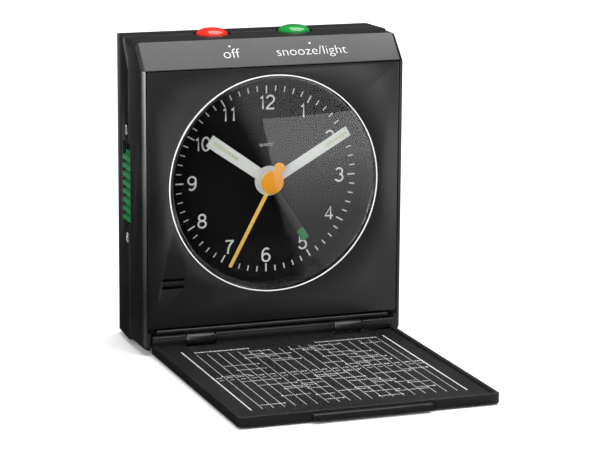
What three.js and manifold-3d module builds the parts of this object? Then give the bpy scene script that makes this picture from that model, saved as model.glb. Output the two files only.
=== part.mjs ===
// Folding travel alarm clock with a flip-down lid. Millimetres, +Z up, the face looks along -Y.
// The design frame has x = 0 at the middle, y = 0 at the face panel and z = 0 at the table.
import * as THREE from "three";
import { mergeVertices } from "three/addons/utils/BufferGeometryUtils.js";
import Module from "manifold-3d";

const wasm = await Module();
wasm.setup();

// ---- driving dimensions ----
const CLEARANCE = 0.3; // between pieces that are fixed to each other
const RUNNING = 0.05; // radial, between a shaft and its bearing

const CASE_WIDTH = 66;
const CASE_TOP = 74.5;
const CASE_DEPTH = 25.5;
const CASE_BOTTOM = 1.2; // the feet lift it this far
const BAND_SIZE = 6; // the 45 degree band along the top front edge
const CORNER_RADIUS = 1.6;
const FRONT_EDGE_RADIUS = 1.3;
const REAR_EDGE_RADIUS = 2;
const REAR_TAPER = 1; // per side, from the seam to the back
const SHELL_WALL = 1.6;
const SEAM_SIDE_Y = 11;
const SEAM_TOP_Y = 16.7;
const SEAM_LEAN_DROP = 7.3; // the seam leans back from this far below the top

const PANEL_THICKNESS = 1.5;
const PANEL_GAP = 0.25;
const PANEL_CORNER = 0.4;
const RIM_WIDTH = 1.1; // case rim beside the panel
const SOUND_SLOT = { length: 5.5, height: 0.75, endRadius: 0.37, spacing: 1.8, x: -25.5, z: 17.3 };
const SOUNDER = { radius: 5.5, thickness: 2.2, shiftX: 2, lift: 0.55 };

const DIAL_Z = 40;
const DIAL_Y = 6.6;
const DIAL_THICKNESS = 0.6;
const LENS_PLAY = 0.04; // lens edge inside the outer edge of the ring that it seats on
const LENS_FRONT_Y = -0.16;
const LENS_THICKNESS = 1.46;
const WELL_RADIUS = 24.8;
const WELL_WALL = 1.6;
const WELL_FLANGE = 1.6;
const WELL_FLANGE_THICKNESS = 1;

const LAMP = { radius: 0.9, length: 2, collar: 1.15, collarHeight: 0.8, setBack: 2.6 };

const HINGE_Z = 3.5;
const HINGE_PIN_RADIUS = 0.55;
const BARREL_RADIUS = 1.4;
const BARREL_INNER_X = 15.3;
const BARREL_OUTER_X = 22.4;
const KNUCKLE_RADIUS = 1.25;
const KNUCKLE_WEB = 0.87; // half size of the block that carries each lid knuckle
const HINGE_SIDE_GAP = 0.3; // sideways, between lid knuckles and case barrels
const POCKET_FRONT_GAP = 0.5; // lid pockets, in front of the case barrels
const POCKET_FLOOR_GAP = 0.35; // and below them
const RECESS_RISE = 3.05; // top of the hinge recess above the hinge axis
const RECESS_DEPTH = 3.2;
const RECESS_SIDE = 1.9; // case wall beside the hinge recess
const HINGE_BAR_RADIUS = 0.58;
const HINGE_BAR_RISE = 2; // above the hinge axis

const LID_SIDE_GAP = 0.35;
const LID_SURFACE_DROP = 1.35; // lid inner surface below the hinge axis
const LID_THICKNESS = 1.7;
const LID_REAR_Y = 0.5;
const LID_LIP = 1;
const LID_LIP_HEIGHT = 0.6;
const LID_CORNER_RADIUS = 1;
const LID_TAB = { width: 28, reach: 1.3, bottom: 0.25, height: 1.5 };

const FOOT_RADIUS = 2.6;
const FOOT_SINK = 0.8;
const FOOT_INSET = 7; // from the case side
const FRONT_FOOT_Y = 8;
const REAR_FOOT_INSET = 5; // from the back

const BUTTON_X = 10.5;
const BUTTON_Y = 16.3;
const BUTTON_RADIUS = 3.9;
const BUTTON_DOME = 1.4;
const BUTTON_TRAVEL = 1;
const BUTTON_DISH_MARGIN = 0.95;
const BUTTON_DISH_DEPTH = 0.8;
const BUTTON_FLANGE = 0.8;
const BUTTON_FLANGE_THICKNESS = 1.3;
const BUTTON_STEM_RADIUS = 1.6;

const SLIDER_SLOT = { y0: 10, y1: 17.9, z0: 29.9, height: 19.7 };
const SLIDER_TRAVEL = 2.2;
const SLIDER_RIBS = 8;
const SLIDER_FACE_INSET = 0.3;
const SLIDER_RIB_DEPTH = 0.9;
const SLIDER_FLANGE = 0.8;

const BATTERY_RADIUS = 5.25; // one AAA cell
const BATTERY_LENGTH = 44.5;
const BATTERY_NUB = { length: 1, radius: 1.9 };
const TRAY_LIFT = 1.5; // battery tray above the case floor
const BATTERY_ROOM = 0.85; // around the cell
const CONTACT_ROOM = 2.05; // at each end of the cell
const CONTACT = { halfWidth: 3.5, halfHeight: 3, thickness: 0.45, bend: 2.4 };
const TRAY_WALL = 1.4;
const DOOR_THICKNESS = 1.2;
const DOOR_LEDGE = 1.2;
const DOOR_GRIP = { width: 8, height: 1.2, drop: 2.6 };

const MOVEMENT = { halfWidth: 22, top: 61.2, depth: 13.5, wall: 1.2, corner: 1.5 };
const TRAY_TO_MOVEMENT = 0.5;
const MIDDLE_PLATE_OFFSET = 5.4; // from the front of the movement
const MIDDLE_PLATE_THICKNESS = 0.8;
const COIL = { x0: -15, x1: 2.5, radius: 2.5, core: 1.2, flange: 0.8, offset: 9.1, rise: 0.4 };
const STATOR = { hole: 2.6, ring: 1.2, endReach: 2.4, legWidth: 1.6, barHeight: 1.8, barGap: 0.9 };
const MOVEMENT_EAR = { reach: 3, topDrop: 4.2, bottomRise: 2.2, radius: 1.8 };
const BOARD_THICKNESS = 1.2;
const SWITCH_SIZE = 6;
const SWITCH_HEIGHT = 3.5;
const SWITCH_PLUNGER = { radius: 1.7, height: 0.7 };
const SLIDE_SWITCH = { front: 11, back: 17, low: 33, high: 45 };
const SLIDER_FORK = { front: 12, back: 16, low: 37, high: 40, length: 1.3 };

const KNOB_RADIUS = 5.2;
const KNOB_HEIGHT = 1.6;
const KNOB_SINK = 0.2; // below the back of the case
const KNOB_DISH_DEPTH = 2.1;
const KNOB_DISH_MARGIN = 0.8;
const KNOB_FLUTES = 18;
const KNOB_FLUTE_DEPTH = 0.35;

const SCREW_SIDE_INSET = 4.6;
const SCREW_BOTTOM_INSET = 4.4;
const SCREW_TOP_INSET = 5;
const SCREW_RADIUS = 0.8;
const SCREW_HEAD_RADIUS = 1.6;
const SCREW_HEAD_HEIGHT = 1.1;
const SCREW_SEAT_DEPTH = 2; // from the back of the case
const SCREW_TIP_Y = 10;
const SCREW_SLOT = 0.4;
const SCREW_SLOT_DEPTH = 0.6;
const BOSS_RADIUS = 1.8;
const REAR_BOSS_EXTRA = 0.6; // the rear bosses clear the screw shank
const FRONT_BOSS_PAST_SEAM = 7;
const OVERLAP = 0.3; // how far joined volumes of one piece run into each other

// Hand angles are degrees clockwise from 12 as the clock is stored, at ten past ten.
const HAND_ANGLE = { alarm: 147, hour: 305, minute: 60, second: 208 };
const HAND_THICKNESS = 0.4;
const HAND_LIFT = { alarm: 1.3, hour: 2.4, minute: 3.6, second: 4.7 }; // in front of the dial
const HAND_END_GAP = { alarm: 6.9, hour: 6.6, minute: 2.2, second: 2.1 }; // tip to the wall of the well
const HAND_FIT = 0.04;
const SECOND_TAIL = 3.8;
const SECOND_ARBOR = 0.45;
const TUBE_WALL = 0.5;
const SECOND_HAND_SEAT = 0.1; // between the second hand and the end of its arbor
const ARBOR = 0.4;
const KNOB_ARBOR = 0.7;
const ARBOR_END_INSET = 0.2; // arbor ends inside the plates that carry them

const TEETH = {
  cannon: 10, motion: 30, motionPinion: 8, hour: 32, timeSet: 10,
  alarm: 24, alarmSet: 36,
  seconds: 30, secondsPinion: 6, third: 45, thirdPinion: 6, centre: 48,
  intermediate: 36, intermediatePinion: 6, rotor: 6,
};
const MOTION_DISTANCE = 6;
const THIRD = { distance: 8.5, angle: 120 };
const INTERMEDIATE = { distance: 8.6, angle: -35 };
const ROTOR = { distance: 7, angle: -75 };
const LAYER_OFFSET = { alarm: 1.9, hour: 3, motion: 4.2, centre: 6.6, third: 7.8, seconds: 9, rotor: 10.2 };
const WHEEL_THICKNESS = 0.8;
const PINION_EXTRA = 0.1; // pinions are a little longer than the wheels they drive

const half = CASE_WIDTH / 2;
const bandBottom = CASE_TOP - BAND_SIZE;
const lidReach = bandBottom - HINGE_Z;
const recessTop = HINGE_Z + RECESS_RISE;
const hingeBarZ = HINGE_Z + HINGE_BAR_RISE;
const wellOuter = WELL_RADIUS + WELL_WALL;
const lensRadius = wellOuter - LENS_PLAY;
const knobX = 2 * MOTION_DISTANCE;
const footX = half - FOOT_INSET;
const rearFootY = CASE_DEPTH - REAR_FOOT_INSET;
const innerFloor = CASE_BOTTOM + SHELL_WALL;
const innerTop = CASE_TOP - SHELL_WALL;
const screwX = half - SCREW_SIDE_INSET;
const screwSeatY = CASE_DEPTH - SCREW_SEAT_DEPTH;
const screwLowZ = CASE_BOTTOM + SCREW_BOTTOM_INSET;
const screwHighZ = CASE_TOP - SCREW_TOP_INSET;
const FAR = 200; // past every outside face, for cutting tools
const FACE_SIDES = 48; // facets of every large circle of the face

// ---- shape helpers ----
function solid(geometry) {
  const bare = geometry.clone();
  bare.deleteAttribute("normal");
  bare.deleteAttribute("uv");
  const merged = mergeVertices(bare, 1e-5);
  const index = merged.index.array;
  const triVerts = [];
  for (let i = 0; i < index.length; i += 3) {
    const [a, b, c] = [index[i], index[i + 1], index[i + 2]];
    if (a !== b && b !== c && c !== a) triVerts.push(a, b, c);
  }
  return new wasm.Manifold(new wasm.Mesh({
    numProp: 3,
    vertProperties: new Float32Array(merged.attributes.position.array),
    triVerts: new Uint32Array(triVerts),
  }));
}

function block(x0, x1, y0, y1, z0, z1) {
  const geometry = new THREE.BoxGeometry(x1 - x0, y1 - y0, z1 - z0);
  return solid(geometry.translate((x0 + x1) / 2, (y0 + y1) / 2, (z0 + z1) / 2));
}

// A round bar along Y, from y0 to y1.
function rod(radius, y0, y1, x = 0, z = 0, sides = 16) {
  const geometry = new THREE.CylinderGeometry(radius, radius, y1 - y0, sides);
  return solid(geometry.translate(x, (y0 + y1) / 2, z));
}

function rodX(radius, x0, x1, y, z, sides = 16) {
  const geometry = new THREE.CylinderGeometry(radius, radius, x1 - x0, sides).rotateZ(Math.PI / 2);
  return solid(geometry.translate((x0 + x1) / 2, y, z));
}

function rodZ(radius, z0, z1, x, y, sides = 24) {
  const geometry = new THREE.CylinderGeometry(radius, radius, z1 - z0, sides).rotateX(Math.PI / 2);
  return solid(geometry.translate(x, y, (z0 + z1) / 2));
}

// A front-view outline (x, z) given depth along Y.
function plateY(shape, y0, y1, curveSegments = 6) {
  const geometry = new THREE.ExtrudeGeometry(shape, { depth: y1 - y0, bevelEnabled: false, curveSegments });
  return solid(geometry.rotateX(Math.PI / 2).translate(0, y1, 0));
}

// A side-view outline (y, z) given width along X.
function plateX(shape, x0, x1, curveSegments = 6) {
  const geometry = new THREE.ExtrudeGeometry(shape, { depth: x1 - x0, bevelEnabled: false, curveSegments });
  const turn = new THREE.Matrix4().makeBasis(
    new THREE.Vector3(0, 1, 0), new THREE.Vector3(0, 0, 1), new THREE.Vector3(1, 0, 0));
  return solid(geometry.applyMatrix4(turn).translate(x0, 0, 0));
}

// A top-view outline (x, y) given height along Z.
function plateZ(shape, z0, z1, curveSegments = 6) {
  const geometry = new THREE.ExtrudeGeometry(shape, { depth: z1 - z0, bevelEnabled: false, curveSegments });
  return solid(geometry.translate(0, 0, z0));
}

function outline(points) {
  return new THREE.Shape(points.map(([u, v]) => new THREE.Vector2(u, v)));
}

function roundedRectangle(u0, u1, v0, v1, radius) {
  const shape = new THREE.Shape();
  shape.moveTo(u0 + radius, v0);
  shape.lineTo(u1 - radius, v0);
  shape.absarc(u1 - radius, v0 + radius, radius, -Math.PI / 2, 0);
  shape.absarc(u1 - radius, v1 - radius, radius, 0, Math.PI / 2);
  shape.absarc(u0 + radius, v1 - radius, radius, Math.PI / 2, Math.PI);
  shape.absarc(u0 + radius, v0 + radius, radius, Math.PI, 1.5 * Math.PI);
  return shape;
}

// A solid of revolution about Y; the profile (radius, y) runs from the front of the axis to its back.
function turned(profile, sides) {
  const points = profile.map(([radius, y]) => new THREE.Vector2(radius, y));
  return solid(new THREE.LatheGeometry(points, sides));
}

function onCircle(distance, degrees) {
  const angle = THREE.MathUtils.degToRad(degrees);
  return [distance * Math.cos(angle), distance * Math.sin(angle)];
}

// ---- scene helpers ----
const clock = new THREE.Group();

function add(parent, name, body, color, roughness, metalness = 0) {
  const faces = body.getMesh();
  const geometry = new THREE.BufferGeometry();
  geometry.setAttribute("position", new THREE.BufferAttribute(new Float32Array(faces.vertProperties), 3));
  geometry.setIndex(new THREE.BufferAttribute(new Uint32Array(faces.triVerts), 1));
  geometry.computeVertexNormals();
  const mesh = new THREE.Mesh(geometry, new THREE.MeshStandardMaterial({ color, roughness, metalness }));
  mesh.name = name;
  parent.add(mesh);
  return mesh;
}

const BLACK = 0x1c1c1d;
const WHITE = 0xdadcd2;
const GREEN = 0x237f3f;
const RED = 0xe02a17;
const YELLOW = 0xf5a800;
const STEEL = 0xb9bcc0;
const BRASS = 0xc9a75a;
const NATURAL = 0xe4e2da;
const RUBBER = 0x202020;

// ---- case ----
function caseOutside() {
  const front = plateY(roundedRectangle(-half, half, CASE_BOTTOM, CASE_TOP, CORNER_RADIUS), 0, CASE_DEPTH, 4);

  const side = new THREE.Shape();
  const r = REAR_EDGE_RADIUS;
  const back = CASE_DEPTH - r;
  side.moveTo(0, CASE_BOTTOM);
  side.lineTo(back, CASE_BOTTOM);
  side.absarc(back, CASE_BOTTOM + r, r, -Math.PI / 2, 0);
  side.absarc(back, CASE_TOP - r, r, 0, Math.PI / 2);
  side.lineTo(BAND_SIZE, CASE_TOP);
  side.lineTo(0, bandBottom);

  const top = new THREE.Shape();
  const rear = half - REAR_TAPER;
  const e = FRONT_EDGE_RADIUS;
  top.moveTo(-half + e, 0);
  top.lineTo(half - e, 0);
  top.absarc(half - e, e, e, -Math.PI / 2, 0);
  top.lineTo(half, SEAM_SIDE_Y);
  top.lineTo(rear, back);
  top.absarc(rear - r, back, r, 0, Math.PI / 2);
  top.absarc(-rear + r, back, r, Math.PI / 2, Math.PI);
  top.lineTo(-half, SEAM_SIDE_Y);
  top.absarc(-half + e, e, e, Math.PI, 1.5 * Math.PI);

  return front.intersect(plateX(side, -FAR, FAR, 4)).intersect(plateZ(top, -FAR, FAR, 4));
}

// All that lies in front of the seam, moved back by shift.
function aheadOfSeam(shift) {
  const lean = SEAM_TOP_Y - SEAM_SIDE_Y;
  const rise = CASE_TOP - SEAM_LEAN_DROP;
  const y = SEAM_SIDE_Y + shift;
  return plateX(outline([
    [-FAR, -FAR], [y, -FAR], [y, rise], [y + lean, rise + lean], [y + lean, FAR], [-FAR, FAR],
  ]), -FAR, FAR);
}

// The two button wells, cut in both shells: a shallow dish with a hole that the button fills.
function buttonWells() {
  let wells = null;
  for (const x of [-BUTTON_X, BUTTON_X]) {
    const dish = rodZ(BUTTON_RADIUS + BUTTON_DISH_MARGIN, CASE_TOP - BUTTON_DISH_DEPTH, FAR, x, BUTTON_Y);
    const hole = rodZ(BUTTON_RADIUS + PANEL_GAP, CASE_TOP - 2 * SHELL_WALL, FAR, x, BUTTON_Y);
    wells = wells ? wells.add(dish).add(hole) : dish.add(hole);
  }
  return wells;
}

function sliderSlot() {
  const { y0, y1, z0, height } = SLIDER_SLOT;
  return block(-FAR, -half + 3 * SHELL_WALL, y0, y1, z0, z0 + height);
}

function footWell(x, y) {
  return rodZ(FOOT_RADIUS + CLEARANCE, -FAR, CASE_BOTTOM + FOOT_SINK, x, y, 16);
}

const screwPlaces = [
  [-screwX, screwLowZ, "lower_left"], [screwX, screwLowZ, "lower_right"],
  [-screwX, screwHighZ, "upper_left"], [screwX, screwHighZ, "upper_right"],
];
const boreEndY = SCREW_TIP_Y - 1;
const frontBossEnd = SEAM_SIDE_Y + FRONT_BOSS_PAST_SEAM;

const outside = caseOutside();
const ledgeFront = PANEL_THICKNESS + CLEARANCE;
const ledgeBack = ledgeFront + PANEL_THICKNESS;
const recessHalf = half - RECESS_SIDE;
const recessWall = RECESS_DEPTH + SHELL_WALL;
const rearWallInner = CASE_DEPTH - PANEL_THICKNESS;

const cellY = rearWallInner - BATTERY_ROOM - BATTERY_RADIUS;
const trayHalf = BATTERY_LENGTH / 2 + CONTACT_ROOM;
const trayFront = cellY - BATTERY_RADIUS - BATTERY_ROOM / 2;
const doorLow = innerFloor + TRAY_LIFT + TRAY_WALL / 2;
const trayLow = doorLow + DOOR_LEDGE;
const batteryZ = trayLow + BATTERY_ROOM + BATTERY_RADIUS;
const trayHigh = batteryZ + BATTERY_RADIUS + BATTERY_ROOM;
const doorHigh = trayHigh + DOOR_LEDGE;
const dishFloor = CASE_DEPTH - KNOB_DISH_DEPTH;

const movementBottom = doorHigh + TRAY_WALL / 2 + TRAY_TO_MOVEMENT;
const movementFront = DIAL_Y + DIAL_THICKNESS + CLEARANCE;
const movementBack = movementFront + MOVEMENT.depth;

// The ears stand beside the movement, and their bosses clear the dial ring.
function earX(z) {
  const beside = MOVEMENT.halfWidth + MOVEMENT_EAR.reach;
  const ringReach = wellOuter + WELL_FLANGE + CLEARANCE + BOSS_RADIUS;
  const rise = z - DIAL_Z;
  return Math.max(beside, Math.sqrt(Math.max(0, ringReach ** 2 - rise ** 2)));
}

const earHighZ = MOVEMENT.top - MOVEMENT_EAR.topDrop;
const earLowZ = movementBottom + MOVEMENT_EAR.bottomRise;
const earPlaces = [[-earX(earHighZ), earHighZ, "upper"], [earX(earLowZ), earLowZ, "lower"]];

function frontFrame() {
  const bandShift = SHELL_WALL * Math.SQRT2; // wall measured square to the band
  const cavity = plateX(outline([
    [ledgeBack, recessTop + SHELL_WALL], [recessWall, recessTop + SHELL_WALL], [recessWall, innerFloor],
    [FAR, innerFloor], [FAR, innerTop], [innerTop - bandBottom + bandShift, innerTop],
    [ledgeBack, ledgeBack + bandBottom - bandShift],
  ]), -half + SHELL_WALL, half - SHELL_WALL);
  const pocket = block(-half + RIM_WIDTH, half - RIM_WIDTH, -1, ledgeFront, recessTop - 1, bandBottom);
  const recess = block(-recessHalf, recessHalf, -1, RECESS_DEPTH, -1, recessTop);
  const wellHole = rod(WELL_RADIUS + WELL_WALL + CLEARANCE, -1, ledgeBack + 1, 0, DIAL_Z, FACE_SIDES);
  const { length, spacing, x: slotX, z: slotZ } = SOUND_SLOT;
  const soundHole = block(slotX - length / 2, slotX + length / 2, 0, ledgeBack + 1,
    slotZ - spacing, slotZ + spacing);

  let frame = outside.intersect(aheadOfSeam(0)).subtract(cavity).subtract(pocket).subtract(recess);
  frame = frame.subtract(wellHole).subtract(soundHole);

  const barEnd = recessHalf - SHELL_WALL;
  const barHalf = HINGE_BAR_RADIUS / 2;
  const webBack = RECESS_DEPTH + OVERLAP;
  frame = frame.add(rodX(HINGE_BAR_RADIUS, -barEnd, barEnd, HINGE_BAR_RADIUS, hingeBarZ))
    .add(block(-barEnd, barEnd, HINGE_BAR_RADIUS, webBack, hingeBarZ - barHalf, hingeBarZ + barHalf));
  const webHalf = BARREL_RADIUS - OVERLAP;
  for (const side of [-1, 1]) {
    const [x0, x1] = side > 0 ? [BARREL_INNER_X, BARREL_OUTER_X] : [-BARREL_OUTER_X, -BARREL_INNER_X];
    const web = block(x0, x1, 0, webBack, HINGE_Z - webHalf, HINGE_Z + webHalf);
    frame = frame.add(rodX(BARREL_RADIUS, x0, x1, 0, HINGE_Z)).add(web);
  }
  frame = frame.subtract(rodX(HINGE_PIN_RADIUS + RUNNING, -recessHalf, recessHalf, 0, HINGE_Z));

  for (const [bossX, bossZ] of screwPlaces) {
    const start = (bossZ < DIAL_Z ? recessWall : ledgeBack) - OVERLAP;
    frame = frame.add(rod(BOSS_RADIUS, start, frontBossEnd, bossX, bossZ, 12));
    frame = frame.subtract(rod(SCREW_RADIUS + RUNNING, boreEndY, FAR, bossX, bossZ, 12));
  }
  for (const [x, z] of earPlaces) {
    frame = frame.add(rod(BOSS_RADIUS, ledgeBack - OVERLAP, movementFront - CLEARANCE, x, z, 12));
    frame = frame.subtract(rod(SCREW_RADIUS + RUNNING, ledgeBack + CLEARANCE, FAR, x, z, 12));
  }
  return frame.subtract(buttonWells()).subtract(sliderSlot())
    .subtract(footWell(-footX, FRONT_FOOT_Y)).subtract(footWell(footX, FRONT_FOOT_Y));
}

function rearCase() {
  const inner = half - REAR_TAPER - SHELL_WALL;
  const room = block(-inner, inner, 0, rearWallInner, innerFloor, innerTop);
  let shell = outside.subtract(aheadOfSeam(CLEARANCE)).subtract(room);

  const joined = rearWallInner + OVERLAP;
  const trayEnd = trayHalf + TRAY_WALL;
  shell = shell.add(block(-trayEnd, trayEnd, trayFront - TRAY_WALL, joined,
    doorLow - TRAY_WALL / 2, doorHigh + TRAY_WALL / 2));
  const dishRadius = KNOB_RADIUS + KNOB_DISH_MARGIN;
  for (const x of [-knobX, knobX]) {
    shell = shell.add(rod(dishRadius + SHELL_WALL, dishFloor - PANEL_THICKNESS, joined, x, DIAL_Z, 24));
    shell = shell.subtract(rod(dishRadius, dishFloor, FAR, x, DIAL_Z, 32));
    shell = shell.subtract(rod(KNOB_ARBOR + CLEARANCE, 0, FAR, x, DIAL_Z));
  }
  for (const [x, z] of screwPlaces) {
    shell = shell.add(rod(BOSS_RADIUS + REAR_BOSS_EXTRA, frontBossEnd + CLEARANCE, joined, x, z, 12));
    shell = shell.subtract(rod(SCREW_RADIUS + CLEARANCE, 0, FAR, x, z, 12));
    shell = shell.subtract(rod(SCREW_HEAD_RADIUS + CLEARANCE, screwSeatY, FAR, x, z));
  }
  shell = shell.subtract(block(-trayHalf, trayHalf, trayFront, FAR, trayLow, trayHigh));
  const doorwayHalf = trayHalf + CLEARANCE;
  shell = shell.subtract(block(-doorwayHalf, doorwayHalf, rearWallInner, FAR, doorLow, doorHigh));
  return shell.subtract(buttonWells()).subtract(sliderSlot())
    .subtract(footWell(-footX, rearFootY)).subtract(footWell(footX, rearFootY));
}

function facePanel() {
  const edge = half - RIM_WIDTH - PANEL_GAP;
  const { length, height, spacing, x, z } = SOUND_SLOT;
  const sheet = roundedRectangle(-edge, edge, recessTop, bandBottom - PANEL_GAP, PANEL_CORNER);
  let panel = plateY(sheet, 0, PANEL_THICKNESS, 2);
  panel = panel.subtract(rod(lensRadius + PANEL_GAP, -1, ledgeFront, 0, DIAL_Z, FACE_SIDES));
  for (const slotZ of [z - spacing / 2, z + spacing / 2]) {
    const [low, high] = [slotZ - height / 2, slotZ + height / 2];
    const slot = roundedRectangle(x - length / 2, x + length / 2, low, high, SOUND_SLOT.endRadius);
    panel = panel.subtract(plateY(slot, -1, ledgeFront, 3));
  }
  return panel;
}

add(clock, "front_frame", frontFrame(), BLACK, 0.45);
add(clock, "face_panel", facePanel(), BLACK, 0.5);
add(clock, "rear_case", rearCase(), BLACK, 0.45);

for (const [x, side] of [[-footX, "left"], [footX, "right"]]) {
  for (const [y, end] of [[FRONT_FOOT_Y, "front"], [rearFootY, "rear"]]) {
    const top = CASE_BOTTOM + FOOT_SINK - CLEARANCE;
    add(clock, `foot_${end}_${side}`, rodZ(FOOT_RADIUS, 0, top, x, y, 16), RUBBER, 0.9);
  }
}

// Pan-head screws: shank towards the front, head towards the back, with a cross slot.
function screw(tipY, seatY) {
  const headY = seatY + SCREW_HEAD_HEIGHT;
  const body = turned([
    [0, tipY], [SCREW_RADIUS, tipY + 1], [SCREW_RADIUS, seatY],
    [SCREW_HEAD_RADIUS, seatY], [SCREW_HEAD_RADIUS, headY], [0, headY],
  ], 12);
  const reach = SCREW_HEAD_RADIUS * 0.6;
  const wide = SCREW_SLOT / 2;
  const floor = headY - SCREW_SLOT_DEPTH;
  return body.subtract(block(-reach, reach, floor, FAR, -wide, wide))
    .subtract(block(-wide, wide, floor, FAR, -reach, reach));
}

for (const [x, z, place] of screwPlaces) {
  const fastener = screw(SCREW_TIP_Y, screwSeatY + RUNNING);
  add(clock, `case_screw_${place}`, fastener, STEEL, 0.35, 1).position.set(x, 0, z);
}

// ---- battery ----
const battery = new THREE.Group();
battery.position.set(0, cellY, batteryZ);
clock.add(battery);

function batteryCell() {
  const end = BATTERY_LENGTH / 2;
  const shoulder = end - BATTERY_NUB.length;
  const crimp = 0.4;
  const rim = BATTERY_RADIUS - crimp;
  return turned([
    [0, -end], [rim, -end], [BATTERY_RADIUS, -end + crimp], [BATTERY_RADIUS, shoulder - crimp],
    [rim, shoulder], [BATTERY_NUB.radius, shoulder], [BATTERY_NUB.radius, end], [0, end],
  ], 28).rotate([0, 0, -90]);
}

const contactX = BATTERY_LENGTH / 2 + CLEARANCE;

function contactLeaf() {
  const { halfWidth, halfHeight, thickness, bend } = CONTACT;
  const outer = -trayHalf + CLEARANCE;
  const inner = outer + thickness;
  const tip = -contactX;
  return plateZ(outline([
    [outer, -halfWidth], [inner, -halfWidth], [inner, -bend], [tip, 0], [inner, bend], [inner, halfWidth],
    [outer, halfWidth], [outer, bend - thickness / 2], [tip - thickness, 0], [outer, thickness / 2 - bend],
  ]), -halfHeight, halfHeight);
}

add(battery, "battery_cell", batteryCell(), 0x8d9096, 0.4, 0.4);
add(battery, "battery_contact_negative", contactLeaf(), STEEL, 0.3, 1);
add(battery, "battery_contact_positive", block(contactX, contactX + CONTACT.thickness,
  -CONTACT.halfWidth, CONTACT.halfWidth, -CONTACT.halfHeight, CONTACT.halfHeight), STEEL, 0.3, 1);

function batteryDoor() {
  const front = CASE_DEPTH - DOOR_THICKNESS;
  const door = block(-trayHalf, trayHalf, front, CASE_DEPTH, doorLow + CLEARANCE, doorHigh - CLEARANCE);
  const { width, height, drop } = DOOR_GRIP;
  const gripZ = doorHigh - drop;
  return door.subtract(block(-width / 2, width / 2, front + DOOR_THICKNESS / 2, FAR, gripZ, gripZ + height));
}

add(clock, "battery_door", batteryDoor(), BLACK, 0.45);

// ---- dial, lens and sounder ----
const face = new THREE.Group();
face.position.set(0, 0, DIAL_Z);
clock.add(face);

const lensBack = LENS_FRONT_Y + LENS_THICKNESS;
const lensBevel = 0.3;

function dialRing() {
  const front = lensBack + CLEARANCE;
  const back = DIAL_Y - CLEARANCE;
  const flangeY = ledgeBack + CLEARANCE;
  return rod(wellOuter, front, back, 0, 0, FACE_SIDES)
    .add(rod(wellOuter + WELL_FLANGE, flangeY, flangeY + WELL_FLANGE_THICKNESS, 0, 0, FACE_SIDES))
    .subtract(rod(WELL_RADIUS, -1, FAR, 0, 0, FACE_SIDES));
}

add(face, "dial_ring", dialRing(), 0x141415, 0.25);
add(face, "lens", turned([
  [0, LENS_FRONT_Y], [lensRadius - lensBevel, LENS_FRONT_Y], [lensRadius, LENS_FRONT_Y + lensBevel],
  [lensRadius, lensBack], [0, lensBack],
], FACE_SIDES), 0xf4f8f8, 0.05);

const secondsTube = SECOND_ARBOR + RUNNING;
const minuteTube = secondsTube + TUBE_WALL;
const hourTubeBore = minuteTube + RUNNING;
const hourTube = hourTubeBore + TUBE_WALL;
const alarmTubeBore = hourTube + RUNNING;
const alarmTube = alarmTubeBore + TUBE_WALL;

add(face, "dial", rod(wellOuter, DIAL_Y, DIAL_Y + DIAL_THICKNESS, 0, 0, FACE_SIDES)
  .subtract(rod(alarmTube + CLEARANCE, 0, FAR)), 0x202021, 0.6);

const sounderFront = ledgeBack + CLEARANCE;
const sounderZ = recessTop + SHELL_WALL + SOUNDER.lift + SOUNDER.radius;
add(clock, "sounder", rod(SOUNDER.radius, sounderFront, sounderFront + SOUNDER.thickness,
  SOUND_SLOT.x + SOUNDER.shiftX, sounderZ, 28), 0x2b2b2b, 0.6);

function dialLamp() {
  const { radius, length, collar, collarHeight, setBack } = LAMP;
  const z = DIAL_Z + wellOuter + WELL_FLANGE + CLEARANCE;
  const y = ledgeBack + setBack;
  return rodZ(radius, z, z + length, 0, y, 12)
    .add(rodZ(collar, z + length - collarHeight, z + length, 0, y, 12));
}

add(clock, "dial_lamp", dialLamp(), 0xe9f2d8, 0.2);

// ---- hands, each pressed on the front end of its tube ----
function hand(parts, hubRadius, bore, y) {
  let body = rod(hubRadius, y, y + HAND_THICKNESS, 0, 0, 20);
  for (const points of parts) body = body.add(plateY(outline(points), y, y + HAND_THICKNESS));
  return bore > 0 ? body.subtract(rod(bore, 0, FAR)) : body;
}

function taper(startZ, startWidth, endZ, endWidth) {
  return [[-startWidth / 2, startZ], [startWidth / 2, startZ], [endWidth / 2, endZ], [-endWidth / 2, endZ]];
}

function tailDisc(radius, z, y) {
  return rod(radius, y, y + HAND_THICKNESS, 0, z, 16);
}

const tip = (name) => WELL_RADIUS - HAND_END_GAP[name];
const handY = (name) => DIAL_Y - HAND_LIFT[name];
const hands = {
  alarm: hand([taper(0, 1.6, tip("alarm"), 2)], 3, alarmTube + HAND_FIT, handY("alarm")),
  hour: hand([taper(0, 2.7, tip("hour"), 3.1)], 3.6, hourTube + HAND_FIT, handY("hour")),
  minute: hand([taper(0, 2.3, tip("minute"), 2.5)], 2.6, minuteTube + HAND_FIT, handY("minute")),
  second: hand([taper(-SECOND_TAIL, 0.9, tip("second"), 0.8)], 2.8, 0, handY("second"))
    .add(tailDisc(1.35, -SECOND_TAIL, handY("second"))),
};
const handColor = { alarm: 0x161616, hour: WHITE, minute: WHITE, second: YELLOW };
for (const [name, body] of Object.entries(hands)) {
  const pointer = add(face, `${name}_hand`, body, handColor[name], 0.5);
  pointer.rotation.y = THREE.MathUtils.degToRad(HAND_ANGLE[name]);
}

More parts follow.
